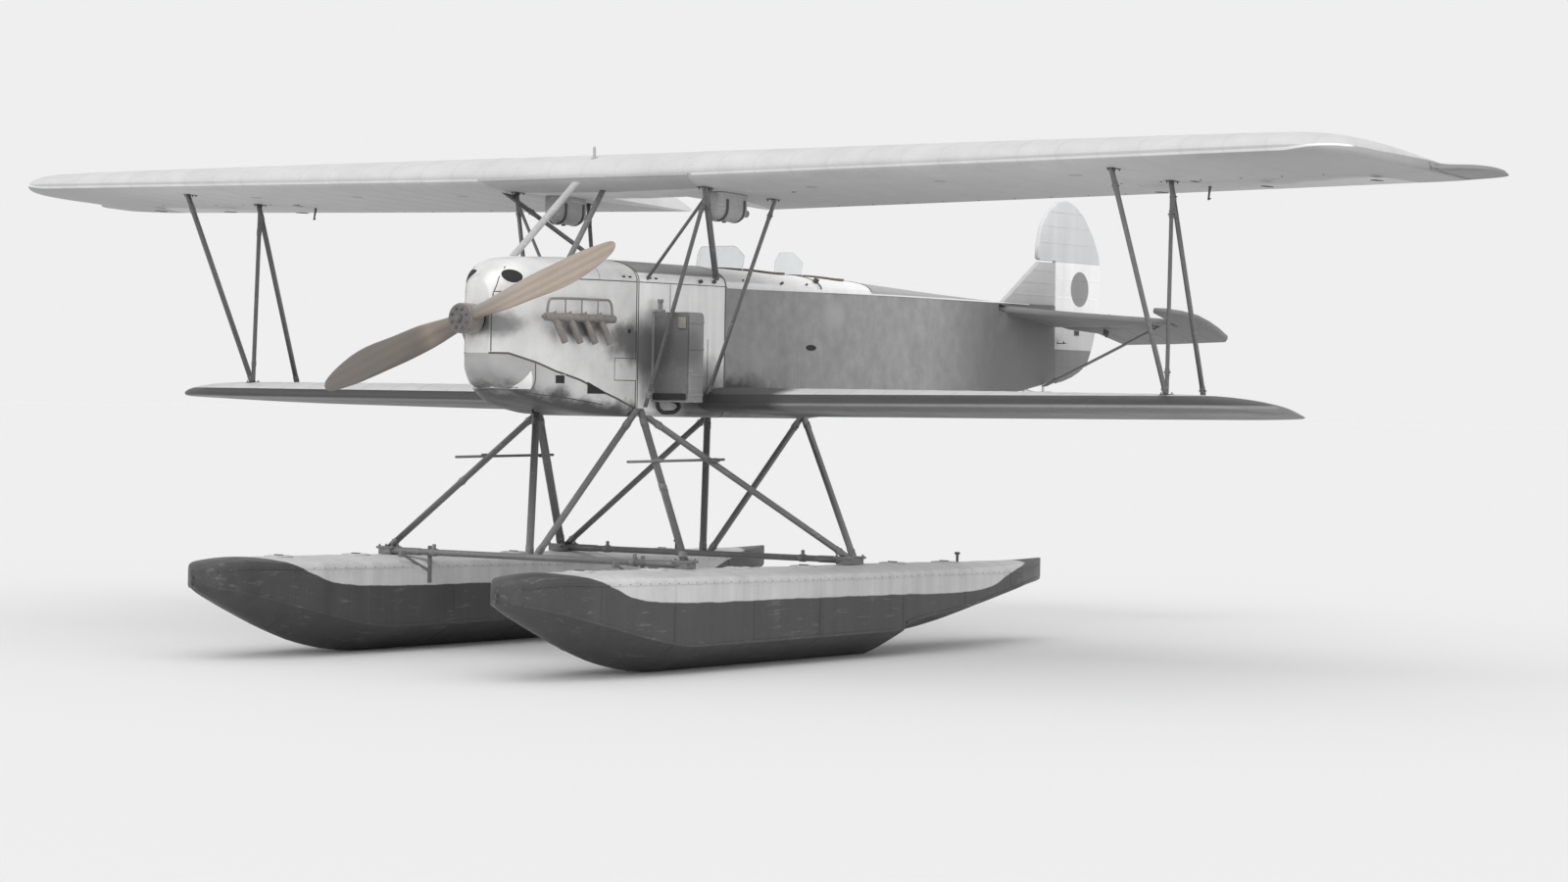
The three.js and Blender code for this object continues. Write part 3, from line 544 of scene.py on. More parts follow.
recipes = {
    # slot, maker of the material and what it is given
    "cowlMetal": ("bare_metal", sheetMetal, 0.70, metalLooks["cowl"]),
    "frontMetal": ("bare_metal", sheetMetal, 0.88, metalLooks["front"]),
    "coamingMetal": ("bare_metal", sheetMetal, 0.88, metalLooks["coaming"]),
    "bodyCloth": ("dark_fabric", dopedCloth, 0.31, clothLooks["body"]),
    "deckCloth": ("dark_fabric", dopedCloth, 0.38, clothLooks["deck"]),
    "upperWingSkin": ("wing_skin", dopedCloth, 0.58, clothLooks["upper"]),
    "lowerWingSkin": ("wing_skin", dopedCloth, 0.19, clothLooks["lower"]),
    "tailCloth": ("dark_fabric", dopedCloth, 0.18, clothLooks["tail"]),
    "finCloth": ("strut_paint", dopedCloth, 0.48, clothLooks["tail"]),
    "strutPaint": ("strut_paint", tubePaint, 0.165, 0.45),
    "lightPaint": ("float_paint", tubePaint, 0.42, 0.5),
    "floatPaint": ("float_paint", floatPaint),
    "rudderPaint": ("tail_paint", rudderPaint),
    "varnishedWood": ("prop_wood", varnishedWood),
    "darkIron": ("engine_iron", castMetal, (0.115, 0.11, 0.105), 0.5, 0.5),
    "hotIron": ("engine_iron", castMetal, (0.28, 0.262, 0.244), 0.6, 0.4),
    "wornSteel": ("engine_iron", castMetal, (0.155, 0.15, 0.145), 0.45, 0.4),
    # flat black for marks and black parts, and painted shade inside openings and pipe mouths
    "sootBlack": ("engine_iron", castMetal, (0.018, 0.018, 0.019), 0.75),
    "blackRubber": ("engine_iron", castMetal, (0.03, 0.03, 0.031), 0.7),
    "paleEnamel": ("float_paint", castMetal, (0.78, 0.77, 0.72), 0.35),
    "plywood": ("prop_wood", plywood),
    "tanThread": ("seat_leather", castMetal, (0.22, 0.17, 0.12), 0.8),
    "radiatorCore": ("radiator_core", tubePaint, 0.13, 0.6, radiatorSoot),
    "radiatorCase": ("radiator_core", tubePaint, 0.22, 0.5, radiatorSoot),
    "saddleLeather": ("seat_leather", saddleLeather),
    "screenGlass": ("screen_glass", screenGlass),
}
looks = {name: (make(name, *given), slot) for name, (slot, make, *given) in recipes.items()}
print("materials made:", len(looks))


# building blocks for shapes

def shown(name, data):
    made = bpy.data.objects.new(name, data)
    bpy.context.scene.collection.objects.link(made)
    return made


def asMesh(bm, name):
    # the mesh of a finished form, which is freed
    mesh = bpy.data.meshes.new(name)
    bm.to_mesh(mesh)
    bm.free()
    return mesh


def finishPiece(bm, name, look, stands=(), sharp=35.0, body="airframe"):
    # closes the seams, turns the faces outwards and puts the mesh in the row frame
    ops.remove_doubles(bm, verts=bm.verts, dist=1e-6)
    ops.recalc_face_normals(bm, faces=bm.faces)
    ops.translate(bm, verts=bm.verts, vec=hub)
    return showPiece(asMesh(bm, name), name, look, stands, sharp, body)


def showPiece(mesh, name, look, stands, sharp, body):
    material, slot = looks[look]
    mesh.materials.clear()
    mesh.materials.append(material)
    mesh.polygons.foreach_set("use_smooth", [True] * len(mesh.polygons))
    mesh.set_sharp_from_angle(angle=radians(sharp))
    piece = shown(name, mesh)
    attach(piece, body)
    if stands:
        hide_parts(*stands)
    return piece


def skinOf(node, look, sharp=30.0):
    # the solid's own shape, merged and shaded smooth
    bm = bmesh.new()
    bm.from_mesh(nodes[node].data)
    ops.remove_doubles(bm, verts=bm.verts, dist=1e-5)
    name = node + "_skin"
    return showPiece(asMesh(bm, name), name, look, [node], sharp, nodes[node]["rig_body"])


def joinIn(bm, *others):
    for other in others:
        spare = asMesh(other, "spare")
        bm.from_mesh(spare)
        bpy.data.meshes.remove(spare)
    return bm


def sided(bm, side):
    # the form itself to port, its mirror image to starboard
    if side < 0:
        ops.scale(bm, verts=bm.verts, vec=(-1, 1, 1))
        ops.reverse_faces(bm, faces=bm.faces)
    return bm


def turns(count, start=0.0, sweep=2 * pi):
    # even angles, all the way round unless told otherwise
    return [start + sweep * k / count for k in range(count)]


def loftRings(rings, loop=False):
    # a grid bent round the rings: a column for each point, a row for each ring
    around, along = len(rings[0]), len(rings) - 1
    bm = bmesh.new()
    ops.create_grid(bm, x_segments=around, y_segments=along, size=0.5)
    for v in bm.verts:
        column = round((v.co.x + 0.5) * around) % around
        v.co = rings[round((v.co.y + 0.5) * along)][column]
    ops.remove_doubles(bm, verts=bm.verts, dist=1e-6)
    if not loop:
        ops.holes_fill(bm, edges=[e for e in bm.edges if e.is_boundary], sides=0)
    ops.recalc_face_normals(bm, faces=bm.faces)
    return bm


def readCurve(rows, at):
    # smooth reading of a table of rows (station, values...), never past its rows
    last = len(rows) - 1
    if at <= rows[0][0] or at >= rows[last][0]:
        return rows[0 if at <= rows[0][0] else last][1:]
    i = max(k for k in range(last) if rows[k][0] <= at)
    span = rows[i + 1][0] - rows[i][0]
    t = (at - rows[i][0]) / span

    def secant(k, c):
        return (rows[k + 1][c] - rows[k][c]) / (rows[k + 1][0] - rows[k][0])

    def slope(k, c):
        if k in (0, last):
            return secant(min(k, last - 1), c)
        before, after = secant(k - 1, c), secant(k, c)
        return 2 * before * after / (before + after) if before * after > 0 else 0.0

    return [(1 + 2 * t) * (1 - t) ** 2 * rows[i][c] + t * (1 - t) ** 2 * span * slope(i, c)
            + t * t * (3 - 2 * t) * rows[i + 1][c] - t * t * (1 - t) * span * slope(i + 1, c)
            for c in range(1, len(rows[0]))]


def roundedPath(points, steps=6):
    # more points on a smooth line through the given ones
    rows = [(float(i), *p) for i, p in enumerate(points)]
    count = (len(points) - 1) * steps
    return [Vector(readCurve(rows, k / steps)) for k in range(count + 1)]


def pipeAlong(points, radius, around=12, loop=False):
    # round bar or pipe along a line; radius is a number or one number for each point
    points = [Vector(p) for p in points]
    if loop:
        points.append(points[0])
    count = len(points)
    rings = []
    across = None
    for i, p in enumerate(points):
        before = points[i - 1] if i else (points[-2] if loop else points[0])
        after = points[i + 1] if i + 1 < count else (points[1] if loop else points[-1])
        along = (after - before).normalized()
        if across is None:
            across = firstAcross = along.orthogonal().normalized()
        across = (across - along * across.dot(along)).normalized()
        if loop and i == count - 1:
            across = firstAcross
        other = along.cross(across)
        size = radius[i] if isinstance(radius, (list, tuple)) else radius
        rings.append([p + (across * cos(a) + other * sin(a)) * size for a in turns(around)])
    return loftRings(rings, loop)


def roundedBlock(size, centre, edge=0.004, turn=None):
    bm = bmesh.new()
    ops.create_cube(bm, size=1.0)
    ops.scale(bm, verts=bm.verts, vec=size)
    softEdges(bm, list(bm.edges), edge)
    if turn is not None:
        ops.transform(bm, matrix=turn, verts=bm.verts)
    ops.translate(bm, verts=bm.verts, vec=centre)
    return bm


def softEdges(bm, edges, offset, segments=2):
    ops.bevel(bm, geom=edges, offset=offset, segments=segments, profile=0.5, affect="EDGES", material=-1)


def disc(centre, direction, radius, thickness, segments=24, edge=0.0):
    # short round or hexagonal drum with its axis along direction
    bm = bmesh.new()
    ops.create_cone(bm, cap_ends=True, segments=segments, radius1=radius, radius2=radius, depth=thickness)
    if edge:
        softEdges(bm, [e for e in bm.edges if abs(e.verts[0].co.z - e.verts[1].co.z) < 1e-6], edge)
    turn = Vector(direction).to_track_quat("Z", "Y").to_matrix().to_4x4()
    ops.transform(bm, matrix=Matrix.Translation(Vector(centre)) @ turn, verts=bm.verts)
    return bm


def addBlock(bm, *given):
    return joinIn(bm, roundedBlock(*given))


def addPipe(bm, *given):
    return joinIn(bm, pipeAlong(*given))


def addDisc(bm, *given):
    return joinIn(bm, disc(*given))


def addBand(bm, *given, **more):
    return joinIn(bm, band(*given, **more))


def facing(spot, normal, along=(0, 1, 0)):
    # a frame on a surface: x runs along it and z points straight out
    out = Vector(normal).normalized()
    ahead = (Vector(along) - out * out.dot(Vector(along))).normalized()
    onSurface = Matrix((ahead, out.cross(ahead), out)).transposed().to_4x4()
    onSurface.translation = Vector(spot)
    return onSurface


def plateOn(bm, spot, normal, size, along=(0, 1, 0), edge=0.0015):
    addBlock(bm, size, (0, 0, 0), edge, facing(spot, normal, along))


def headOn(bm, spot, normal, radius, proud=0.4):
    # round head of a rivet or screw
    head = bmesh.new()
    ops.create_uvsphere(head, u_segments=8, v_segments=5, radius=radius)
    ops.scale(head, verts=head.verts, vec=(1, 1, proud))
    ops.transform(head, matrix=facing(spot, normal), verts=head.verts)
    joinIn(bm, head)


def boltOn(bm, spot, normal, radius):
    # hexagon nut on a washer, with the end of its bolt
    out = Vector(normal).normalized()
    for rise, size, *given in ((0.001, 1.5, 0.004, 18), (0.007, 1, 0.010, 6, 0.001), (0.013, 0.5, 0.008, 10)):
        addDisc(bm, Vector(spot) + out * rise, out, radius * size, *given)


def spaced(points, gap):
    # even steps along a line of points
    points = [Vector(p) for p in points]
    lengths = [0.0]
    for a, b in zip(points, points[1:]):
        lengths.append(lengths[-1] + (b - a).length)
    count = max(1, round(lengths[-1] / gap))
    spots = []
    for k in range(count + 1):
        far = lengths[-1] * k / count
        i = max(j for j in range(len(points) - 1) if lengths[j] <= far + 1e-9)
        share = (far - lengths[i]) / max(1e-9, lengths[i + 1] - lengths[i])
        spots.append(points[i].lerp(points[i + 1], min(1.0, share)))
    return spots


def band(pairs, width, proud, sunk=0.003, widths=None):
    # flat strip laid on a surface along a line of spots and normals
    spots = [spot for spot, _ in pairs]
    section = ((-1, -sunk), (-0.96, proud * 0.6), (-0.8, proud), (0.8, proud), (0.96, proud * 0.6), (1, -sunk))
    rings = []
    for i, (spot, normal) in enumerate(pairs):
        along = (spots[min(i + 1, len(spots) - 1)] - spots[max(i - 1, 0)]).normalized()
        across = normal.cross(along).normalized() * (widths[i] if widths else width) / 2
        rings.append([spot + across * way + normal * rise for way, rise in section])
    return loftRings(rings)


def flat(points, normal):
    # pairs for a band along points that all face one way
    return [(Vector(p), Vector(normal)) for p in points]


# fuselage skin

noseRows = [
    (0.130, 0.118, -0.330, 0.120, 0.300, 0.040), (0.165, 0.155, -0.400, 0.170, 0.365, 0.060),
    (0.230, 0.205, -0.462, 0.225, 0.425, 0.090), (0.330, 0.268, -0.530, 0.270, 0.470, 0.120),
    (0.500, 0.366, -0.608, 0.305, 0.496, 0.150), (0.700, 0.446, -0.662, 0.322, 0.508, 0.160),
    (0.950, 0.494, -0.704, 0.330, 0.516, 0.150), (1.200, 0.507, -0.730, 0.333, 0.520, 0.110),
    (1.500, 0.510, -0.740, 0.335, 0.522, 0.070),
]
bodyRows = [
    (1.500, 0.510, -0.740, 0.335, 0.522, 0.070), (2.700, 0.510, -0.740, 0.340, 0.520, 0.070),
    (4.000, 0.505, -0.740, 0.352, 0.500, 0.070), (4.930, 0.465, -0.668, 0.362, 0.480, 0.060),
    (6.000, 0.385, -0.585, 0.370, 0.432, 0.050), (7.200, 0.268, -0.514, 0.376, 0.386, 0.040),
    (8.000, 0.170, -0.456, 0.380, 0.382, 0.030), (8.450, 0.100, -0.400, 0.380, 0.382, 0.024),
    (8.700, 0.056, -0.366, 0.380, 0.382, 0.016), (8.812, 0.030, -0.352, 0.380, 0.382, 0.010),
]


def hullRing(rows, y):
    # cross-section from the bottom centre round to port, over the top and back
    half, low, side, top, ease = readCurve(rows, y)
    right = [((half - ease) * k / 4, low) for k in range(5)]
    for k in range(1, 7):
        a = k / 6 * pi / 2
        right.append((half - ease + ease * sin(a), low + ease - ease * cos(a)))
    right += [(half, low + ease + (side - low - ease) * k / 6) for k in range(1, 7)]
    for k in range(1, 15):
        a = k / 14 * pi / 2
        right.append((half * max(0.0, cos(a)) ** 0.8, side + (top - side) * sin(a) ** 0.9))
    left = [(-x, z) for x, z in reversed(right[1:-1])]
    return [Vector((x, y, z)) for x, z in right + left]


def hullPoint(rows, y, z, side=1):
    # where the skin is at one station and height, with its outward normal
    def touch(y, z):
        ring = hullRing(rows, y)[:31]
        for a, b in zip(ring, ring[1:]):
            if a.z <= z <= b.z and b.z > a.z:
                return a.lerp(b, (z - a.z) / (b.z - a.z))
        return ring[-1] if z > ring[-1].z else ring[0]

    spot = touch(y, z)
    alongY = touch(y + 0.01, z) - touch(y - 0.01, z)
    alongZ = touch(y, z + 0.01) - touch(y, z - 0.01)
    normal = alongY.cross(alongZ).normalized()
    spot.x, normal.x = side * spot.x, side * normal.x
    return spot, normal


def hullLine(rows, points, side=1, gap=0.03):
    # spots and normals on the skin along a line of stations and heights
    return [hullPoint(rows, p.y, p.z, side) for p in spaced([(0, y, z) for y, z in points], gap)]


def hullHoop(rows, y, width, proud, above=-9.0):
    # strap round the hull at one station, left out where the skin is lower than above
    front, back = hullRing(rows, y - width / 2), hullRing(rows, y + width / 2)
    rings = []
    for i, (a, b) in enumerate(zip(front, back)):
        along = front[(i + 1) % len(front)] - front[i - 1]
        out = Vector((along.z, 0, -along.x)).normalized()
        if a.z >= above:
            rings.append([a - out * 0.003, a + out * proud, b + out * proud, b - out * 0.003])
    closed = len(rings) == len(front)
    return loftRings(rings + rings[:1] if closed else rings, closed)


def hullPatch(rows, y, z, long, tall, side, proud, oval=False, cuts=6, apex=None):
    # thin plate that follows the skin; the square is squeezed to an oval or a triangle
    bm = bmesh.new()
    ops.create_grid(bm, x_segments=cuts, y_segments=cuts, size=1.0)
    ops.solidify(bm, geom=list(bm.faces), thickness=1.0)
    for v in bm.verts:
        u, w = v.co.x, v.co.y
        if oval:
            u, w = u * sqrt(1 - w * w / 2), w * sqrt(1 - u * u / 2)
        if apex is not None:
            u = apex + (u - apex) * (1.04 - w) / 2.04
        spot, normal = hullPoint(rows, y + u * long / 2, z + w * tall / 2, side)
        v.co = spot + normal * (proud if abs(v.co.z) < 0.5 else -0.004)
    return bm


def deckTop(x, y):
    # height of the rounded decking at one place
    half, low, side, top, ease = readCurve(bodyRows, y)
    flatness = min(1.0, abs(x) / half) ** 1.25
    return side + (top - side) * sqrt(max(0.0, 1 - flatness * flatness)) ** 0.9


noseStations = [0.130, 0.136, 0.145, 0.155, 0.165, 0.18, 0.195, 0.21, 0.23, 0.25, 0.275, 0.30, 0.33, 0.365, 0.40,
                0.45, 0.50, 0.56, 0.62, 0.70, 0.78, 0.86, 0.95, 1.03, 1.11, 1.20, 1.3, 1.4, 1.499]
for name, look, rows, stations, node in (
        ("cowl_skin", "cowlMetal", noseRows, noseStations, "engine_cowl"),
        ("front_body_skin", "frontMetal", bodyRows, [1.5, 1.8, 2.1, 2.4, 2.6995], "fuselage_front")):
    finishPiece(loftRings([hullRing(rows, y) for y in stations]), name, look, [node])
for node, look in (("fuselage_rear", "bodyCloth"), ("pilot_coaming", "coamingMetal"),
                   ("observer_coaming", "coamingMetal"), ("turtle_deck", "deckCloth")):
    skinOf(node, look)
print("fuselage made")


# seams, plates and openings of the cowl and the front of the body

cowlFittings = {
    "proud": 0.0018, "rivet": 0.0042, "gap": 0.055, "rivetRow": 0.024,
    # width, then stations and heights of each line on both sides
    "lines": [
        (0.016, chinLine), (0.008, [(0.56, 0.328), (0.8, 0.33), (1.1, 0.332), (1.48, 0.335)]),
        (0.008, [(0.155, 0.212), (0.3, 0.213), (0.4, 0.213)]), (0.009, [(0.44, -0.335), (0.445, -0.56)]),
        (0.008, [(0.34, -0.545), (0.5, -0.575), (0.8, -0.61), (1.1, -0.65)]), (0.005, [(1.02, 0.34), (1.02, 0.5)]),
        (0.009, [(0.142, -0.25), (0.142, 0.05), (0.15, 0.2), (0.2, 0.33), (0.27, 0.41)]),
    ],
    "hoop": 1.487, "ovals": {1: (0.28, 0.335, 0.13, 0.1), -1: (0.205, 0.335, 0.09, 0.1)},
    "panel": (1.355, -0.365, 0.27, 0.17), "squareHole": (0.634, -0.456, 0.075, 0.062),
    # triangles: middle, size, where the point stands from -1 to 1
    "wedges": {"dark": (1.02, -0.518, 0.24, 0.09, -1.0), "pale": (0.375, -0.465, 0.12, 0.14, 0.6)},
    "plug": (1.395, -0.061), "plugRadius": 0.017,
    # screws round the shaft opening, its radius, and turn buttons along the shoulder
    "screws": 18, "shaft": 0.085, "buttons": (1.32, 1.4, 1.66, 1.74), "buttonLevel": 0.37,
    "catch": [(-0.06, 0.9, -0.69), (-0.06, 0.9, -0.715), (-0.03, 0.94, -0.728)],
}
cowlLines, cowlRivets, cowlHoles, cowlPlates, cowlPale = (bmesh.new() for _ in range(5))
joinIn(cowlLines, hullHoop(noseRows, cowlFittings["hoop"], 0.009, cowlFittings["proud"]))


def cowlPatch(bm, place, side, grow, proud, oval=False, cuts=6, apex=None):
    y, z, long, tall = place[:4]
    joinIn(bm, hullPatch(noseRows, y, z, long + grow, tall + grow, side, proud, oval, cuts, apex))


for side in (1, -1):
    for width, line in cowlFittings["lines"]:
        addBand(cowlLines, hullLine(noseRows, line, side), width, cowlFittings["proud"])
        for offset in (-cowlFittings["rivetRow"], cowlFittings["rivetRow"]):
            row = [(y, z + offset) if len(line) > 2 else (y + offset, z) for y, z in line]
            for spot, normal in hullLine(noseRows, row, side, cowlFittings["gap"]):
                headOn(cowlRivets, spot, normal, cowlFittings["rivet"])
    y, z, long, tall = oval = cowlFittings["ovals"][side]
    cowlPatch(cowlPlates, (y, z, long, tall - 0.002), side, 0.02, 0.003, True, 8)
    # flat black oval: painted shade inside the nose opening
    cowlPatch(cowlHoles, oval, side, 0, 0.0045, True, 8)
    for bm, wedge in ((cowlHoles, cowlFittings["wedges"]["dark"]), (cowlPale, cowlFittings["wedges"]["pale"])):
        cowlPatch(bm, wedge, side, 0, 0.0022, cuts=8, apex=wedge[4])
    y, z, long, tall = panel = cowlFittings["panel"]
    cowlPatch(cowlLines, panel, side, 0.012, 0.0008)
    cowlPatch(cowlPlates, panel, side, 0, 0.002)
    for dy in (-0.42, -0.14, 0.14, 0.42):
        for dz in (-0.4, 0.4):
            headOn(cowlRivets, *hullPoint(noseRows, y + dy * long, z + dz * tall, side), 0.006)
    cowlPatch(cowlPlates, cowlFittings["squareHole"], side, 0.016, 0.002)
    # flat black patch: painted shade inside the square hole
    cowlPatch(cowlHoles, cowlFittings["squareHole"], side, 0, 0.003)
    spot, normal = hullPoint(noseRows, *cowlFittings["plug"], side)
    addDisc(cowlHoles, spot, normal, cowlFittings["plugRadius"], 0.012, 20, 0.002)
    for y in cowlFittings["buttons"]:
        rows = noseRows if y < 1.5 else bodyRows
        plateOn(cowlHoles, *hullPoint(rows, y, cowlFittings["buttonLevel"], side), (0.034, 0.012, 0.012))
for a in turns(cowlFittings["screws"]):
    headOn(cowlRivets, (0.098 * cos(a), 0.13, 0.01 + 0.14 * sin(a)), (0, -1, 0), 0.005)
# flat black disc round the shaft: painted shade in the shaft opening
addDisc(cowlHoles, (0, 0.131, 0), (0, 1, 0), cowlFittings["shaft"], 0.006, 40, 0.001)
addPipe(cowlHoles, roundedPath(cowlFittings["catch"]), 0.009, 10)
for bm, name, look in ((cowlLines, "seams", "darkIron"), (cowlRivets, "rivets", "cowlMetal"),
                       (cowlHoles, "openings", "sootBlack"), (cowlPlates, "plates", "cowlMetal"),
                       (cowlPale, "wedges", "coamingMetal")):
    finishPiece(bm, "cowl_" + name, look)

frontFittings = {
    "hoops": ((1.512, 0.009), (2.688, 0.016)),
    "lines": [[(1.505, 0.335), (2.69, 0.34)], [(1.93, 0.33), (1.93, 0.12)], [(2.45, -0.72), (2.45, -0.1)]],
    "rivets": [[(1.53, 0.315), (2.67, 0.32)], [(2.665, -0.7), (2.665, 0.3)], [(1.535, -0.7), (1.535, 0.3)],
               [(1.53, 0.36), (2.67, 0.362)]],
    "knobs": [(2.33, 0.366), (2.52, 0.371)],
    "step": (3.947, -0.135, 0.15, 0.05), "rub": [(3.76, -0.18), (3.78, -0.33), (3.77, -0.47)],
    # edge strips: first station and gap; tail rest and its post
    "strips": (2.71, 0.3), "rest": [(0, 8.28, -0.44), (0, 8.52, -0.475), (0, 8.80, -0.47)],
    "post": [(0, 8.66, -0.37), (0, 8.66, -0.46)],
}
frontLines, frontRivets, rearSteps, rearMarks, rearMetal = (bmesh.new() for _ in range(5))
for y, width in frontFittings["hoops"]:
    joinIn(frontLines, hullHoop(bodyRows, y, width, 0.0018))
for side in (1, -1):
    for line in frontFittings["lines"]:
        addBand(frontLines, hullLine(bodyRows, line, side, 0.06), 0.007, 0.0014)
    for line in frontFittings["rivets"]:
        for spot, normal in hullLine(bodyRows, line, side, 0.055):
            headOn(frontRivets, spot, normal, 0.0045)
    for y, z in frontFittings["knobs"]:
        spot, normal = hullPoint(bodyRows, y, z, side)
        addDisc(frontLines, spot + normal * 0.012, normal, 0.016, 0.03, 16, 0.004)
    joinIn(rearSteps, hullPatch(bodyRows, *frontFittings["step"], side, 0.003, True, 8))
    addBand(rearMarks, hullLine(bodyRows, frontFittings["rub"], side, 0.06), 0.009, 0.0012)
    stations = [frontFittings["strips"][0] + frontFittings["strips"][1] * k for k in range(19)]
    line = [(y, readCurve(bodyRows, y)[2] - 0.006) for y in stations]
    addBand(rearMetal, hullLine(bodyRows, line, side, 0.1), 0.012, 0.003)
addPipe(rearMetal, roundedPath(frontFittings["rest"]), 0.02, 14)
addPipe(rearMetal, frontFittings["post"], 0.014, 12)
for bm, name, look in ((frontLines, "front_seams", "darkIron"), (frontRivets, "front_rivets", "frontMetal"),
                       (rearSteps, "rear_body_steps", "sootBlack"), (rearMarks, "rear_body_marks", "deckCloth"),
                       (rearMetal, "rear_body_strips", "coamingMetal")):
    finishPiece(bm, name, look)
print("body seams and plates made")


# cockpits

cockpits = {
    # opening: centre station, half width and half length; seat: station and level; dials: place and radius
    "pilot": {"hatch": (3.70, 0.290, 0.310), "seat": (3.74, -0.260), "panel": 3.30,
              "dials": [(-0.24, 0.22, 0.045), (-0.1, 0.24, 0.06), (0.06, 0.2, 0.04), (0.18, 0.245, 0.05),
                        (0.3, 0.17, 0.032)]},
    "observer": {"hatch": (4.62, 0.300, 0.260), "seat": (4.64, -0.240), "panel": 4.20,
                 "dials": [(-0.12, 0.2, 0.04), (0.14, 0.21, 0.05)]},
}
rimLook = {"radius": 0.019, "stitches": 56}
cushionLook = {"crown": 0.030, "pull": 0.012, "channels": 4, "cuts": 11, "corner": 0.97,
               "seat": (0.345, 0.30, 0.075), "back": (0.335, 0.36, 0.06)}
bucketLook = {"half": 0.186, "bend": 1.15, "deep": 0.172, "tall": 0.385, "dip": 0.24, "foot": 0.03}


def cushion(size, place):
    # crowned closed form whose sides pull in between the corners, with sewn channels and piping
    long, deep, thick = size
    pull = cushionLook["pull"]
    bm = bmesh.new()
    ops.create_cube(bm, size=1.0)
    ops.subdivide_edges(bm, edges=list(bm.edges), cuts=cushionLook["cuts"], use_grid_fill=True)
    for v in bm.verts:
        u, w, t = v.co * 2
        swell = (1 - u ** 2) * (1 - w ** 2)
        channel = abs(sin(pi * cushionLook["channels"] * (u + 1) / 2)) ** 0.5
        edge = 0.008 * max(0.0, 1 - t * t)
        top = thick / 2 + swell ** 0.5 * cushionLook["crown"] * (0.55 + 0.45 * channel)
        v.co = (u * (long / 2 - pull * (1 - w * w) + edge), w * (deep / 2 - pull * (1 - u * u) + edge),
                t * (top if t > 0 else thick / 2))
    seam = []
    for a in turns(80):
        big = max(abs(cos(a)), abs(sin(a)))
        u, w = cos(a) / big, sin(a) / big
        inward = cushionLook["corner"] if abs(abs(u) - abs(w)) < 0.12 else 1.0
        x, y = u * (long / 2 - pull * (1 - w * w)), w * (deep / 2 - pull * (1 - u * u))
        seam.append((x * inward, y * inward, thick / 2))
    piping = pipeAlong(seam, 0.0045, 8, True)
    for part in (bm, piping):
        ops.transform(part, matrix=place, verts=part.verts)
    return bm, piping


def bucket(y, level):
    # sheet metal pan with a wrapped back, on a cross-braced stand
    look = bucketLook
    bm = roundedBlock((0.372, 0.322, 0.012), (0, y, level + 0.004), 0.004)
    shell = bmesh.new()
    ops.create_grid(shell, x_segments=20, y_segments=10, size=1.0)
    for v in shell.verts:
        a = v.co.x * look["bend"]
        crest = look["tall"] - look["dip"] * (1 - cos(a * 0.95)) ** 1.1
        around = (cos(a) - cos(look["bend"])) / (1 - cos(look["bend"]))
        v.co = (look["half"] * sin(a) / sin(look["bend"]), y + 0.02 + look["deep"] * around,
                level + 0.012 + crest * (v.co.y + 1) / 2)
    ops.solidify(shell, geom=list(shell.faces), thickness=0.006)
    joinIn(bm, shell)
    base = readCurve(bodyRows, y)[1] + look["foot"]
    for side in (1, -1):
        for dy in (-0.12, 0.12):
            addPipe(bm, [(side * 0.13, y + dy, level), (side * 0.17, y + dy * 1.2, base)], 0.011, 10)
        addPipe(bm, [(side * 0.135, y - 0.125, level - 0.03), (side * 0.165, y + 0.14, base + 0.04)], 0.008, 8)
    for dy in (-0.125, 0.125):
        addPipe(bm, [(-0.14, y + dy, level - 0.05), (0.14, y + dy, level - 0.05)], 0.008, 8)
    return bm


def dialOn(rims, faces, marks, spot, radius):
    # instrument with a bezel, a pale face, ticks and a hand
    middle = Vector(spot)
    addDisc(rims, middle, (0, 1, 0), radius * 1.2, 0.02, 32, 0.004)
    addDisc(faces, middle + Vector((0, 0.0085, 0)), (0, 1, 0), radius, 0.006, 32)
    lines = [(radians(225 - 30 * k), 0.8, 0.012, (0.22, 0.0022)) for k in range(10)]
    for a, far, proud, (long, thick) in lines + [(radians(150), 0.3, 0.013, (0.75, 0.003))]:
        out = Vector((cos(a), 0, sin(a)))
        spot = middle + out * radius * far + Vector((0, proud, 0))
        plateOn(marks, spot, (0, 1, 0), (radius * long, thick, 0.002), out, 0.0004)


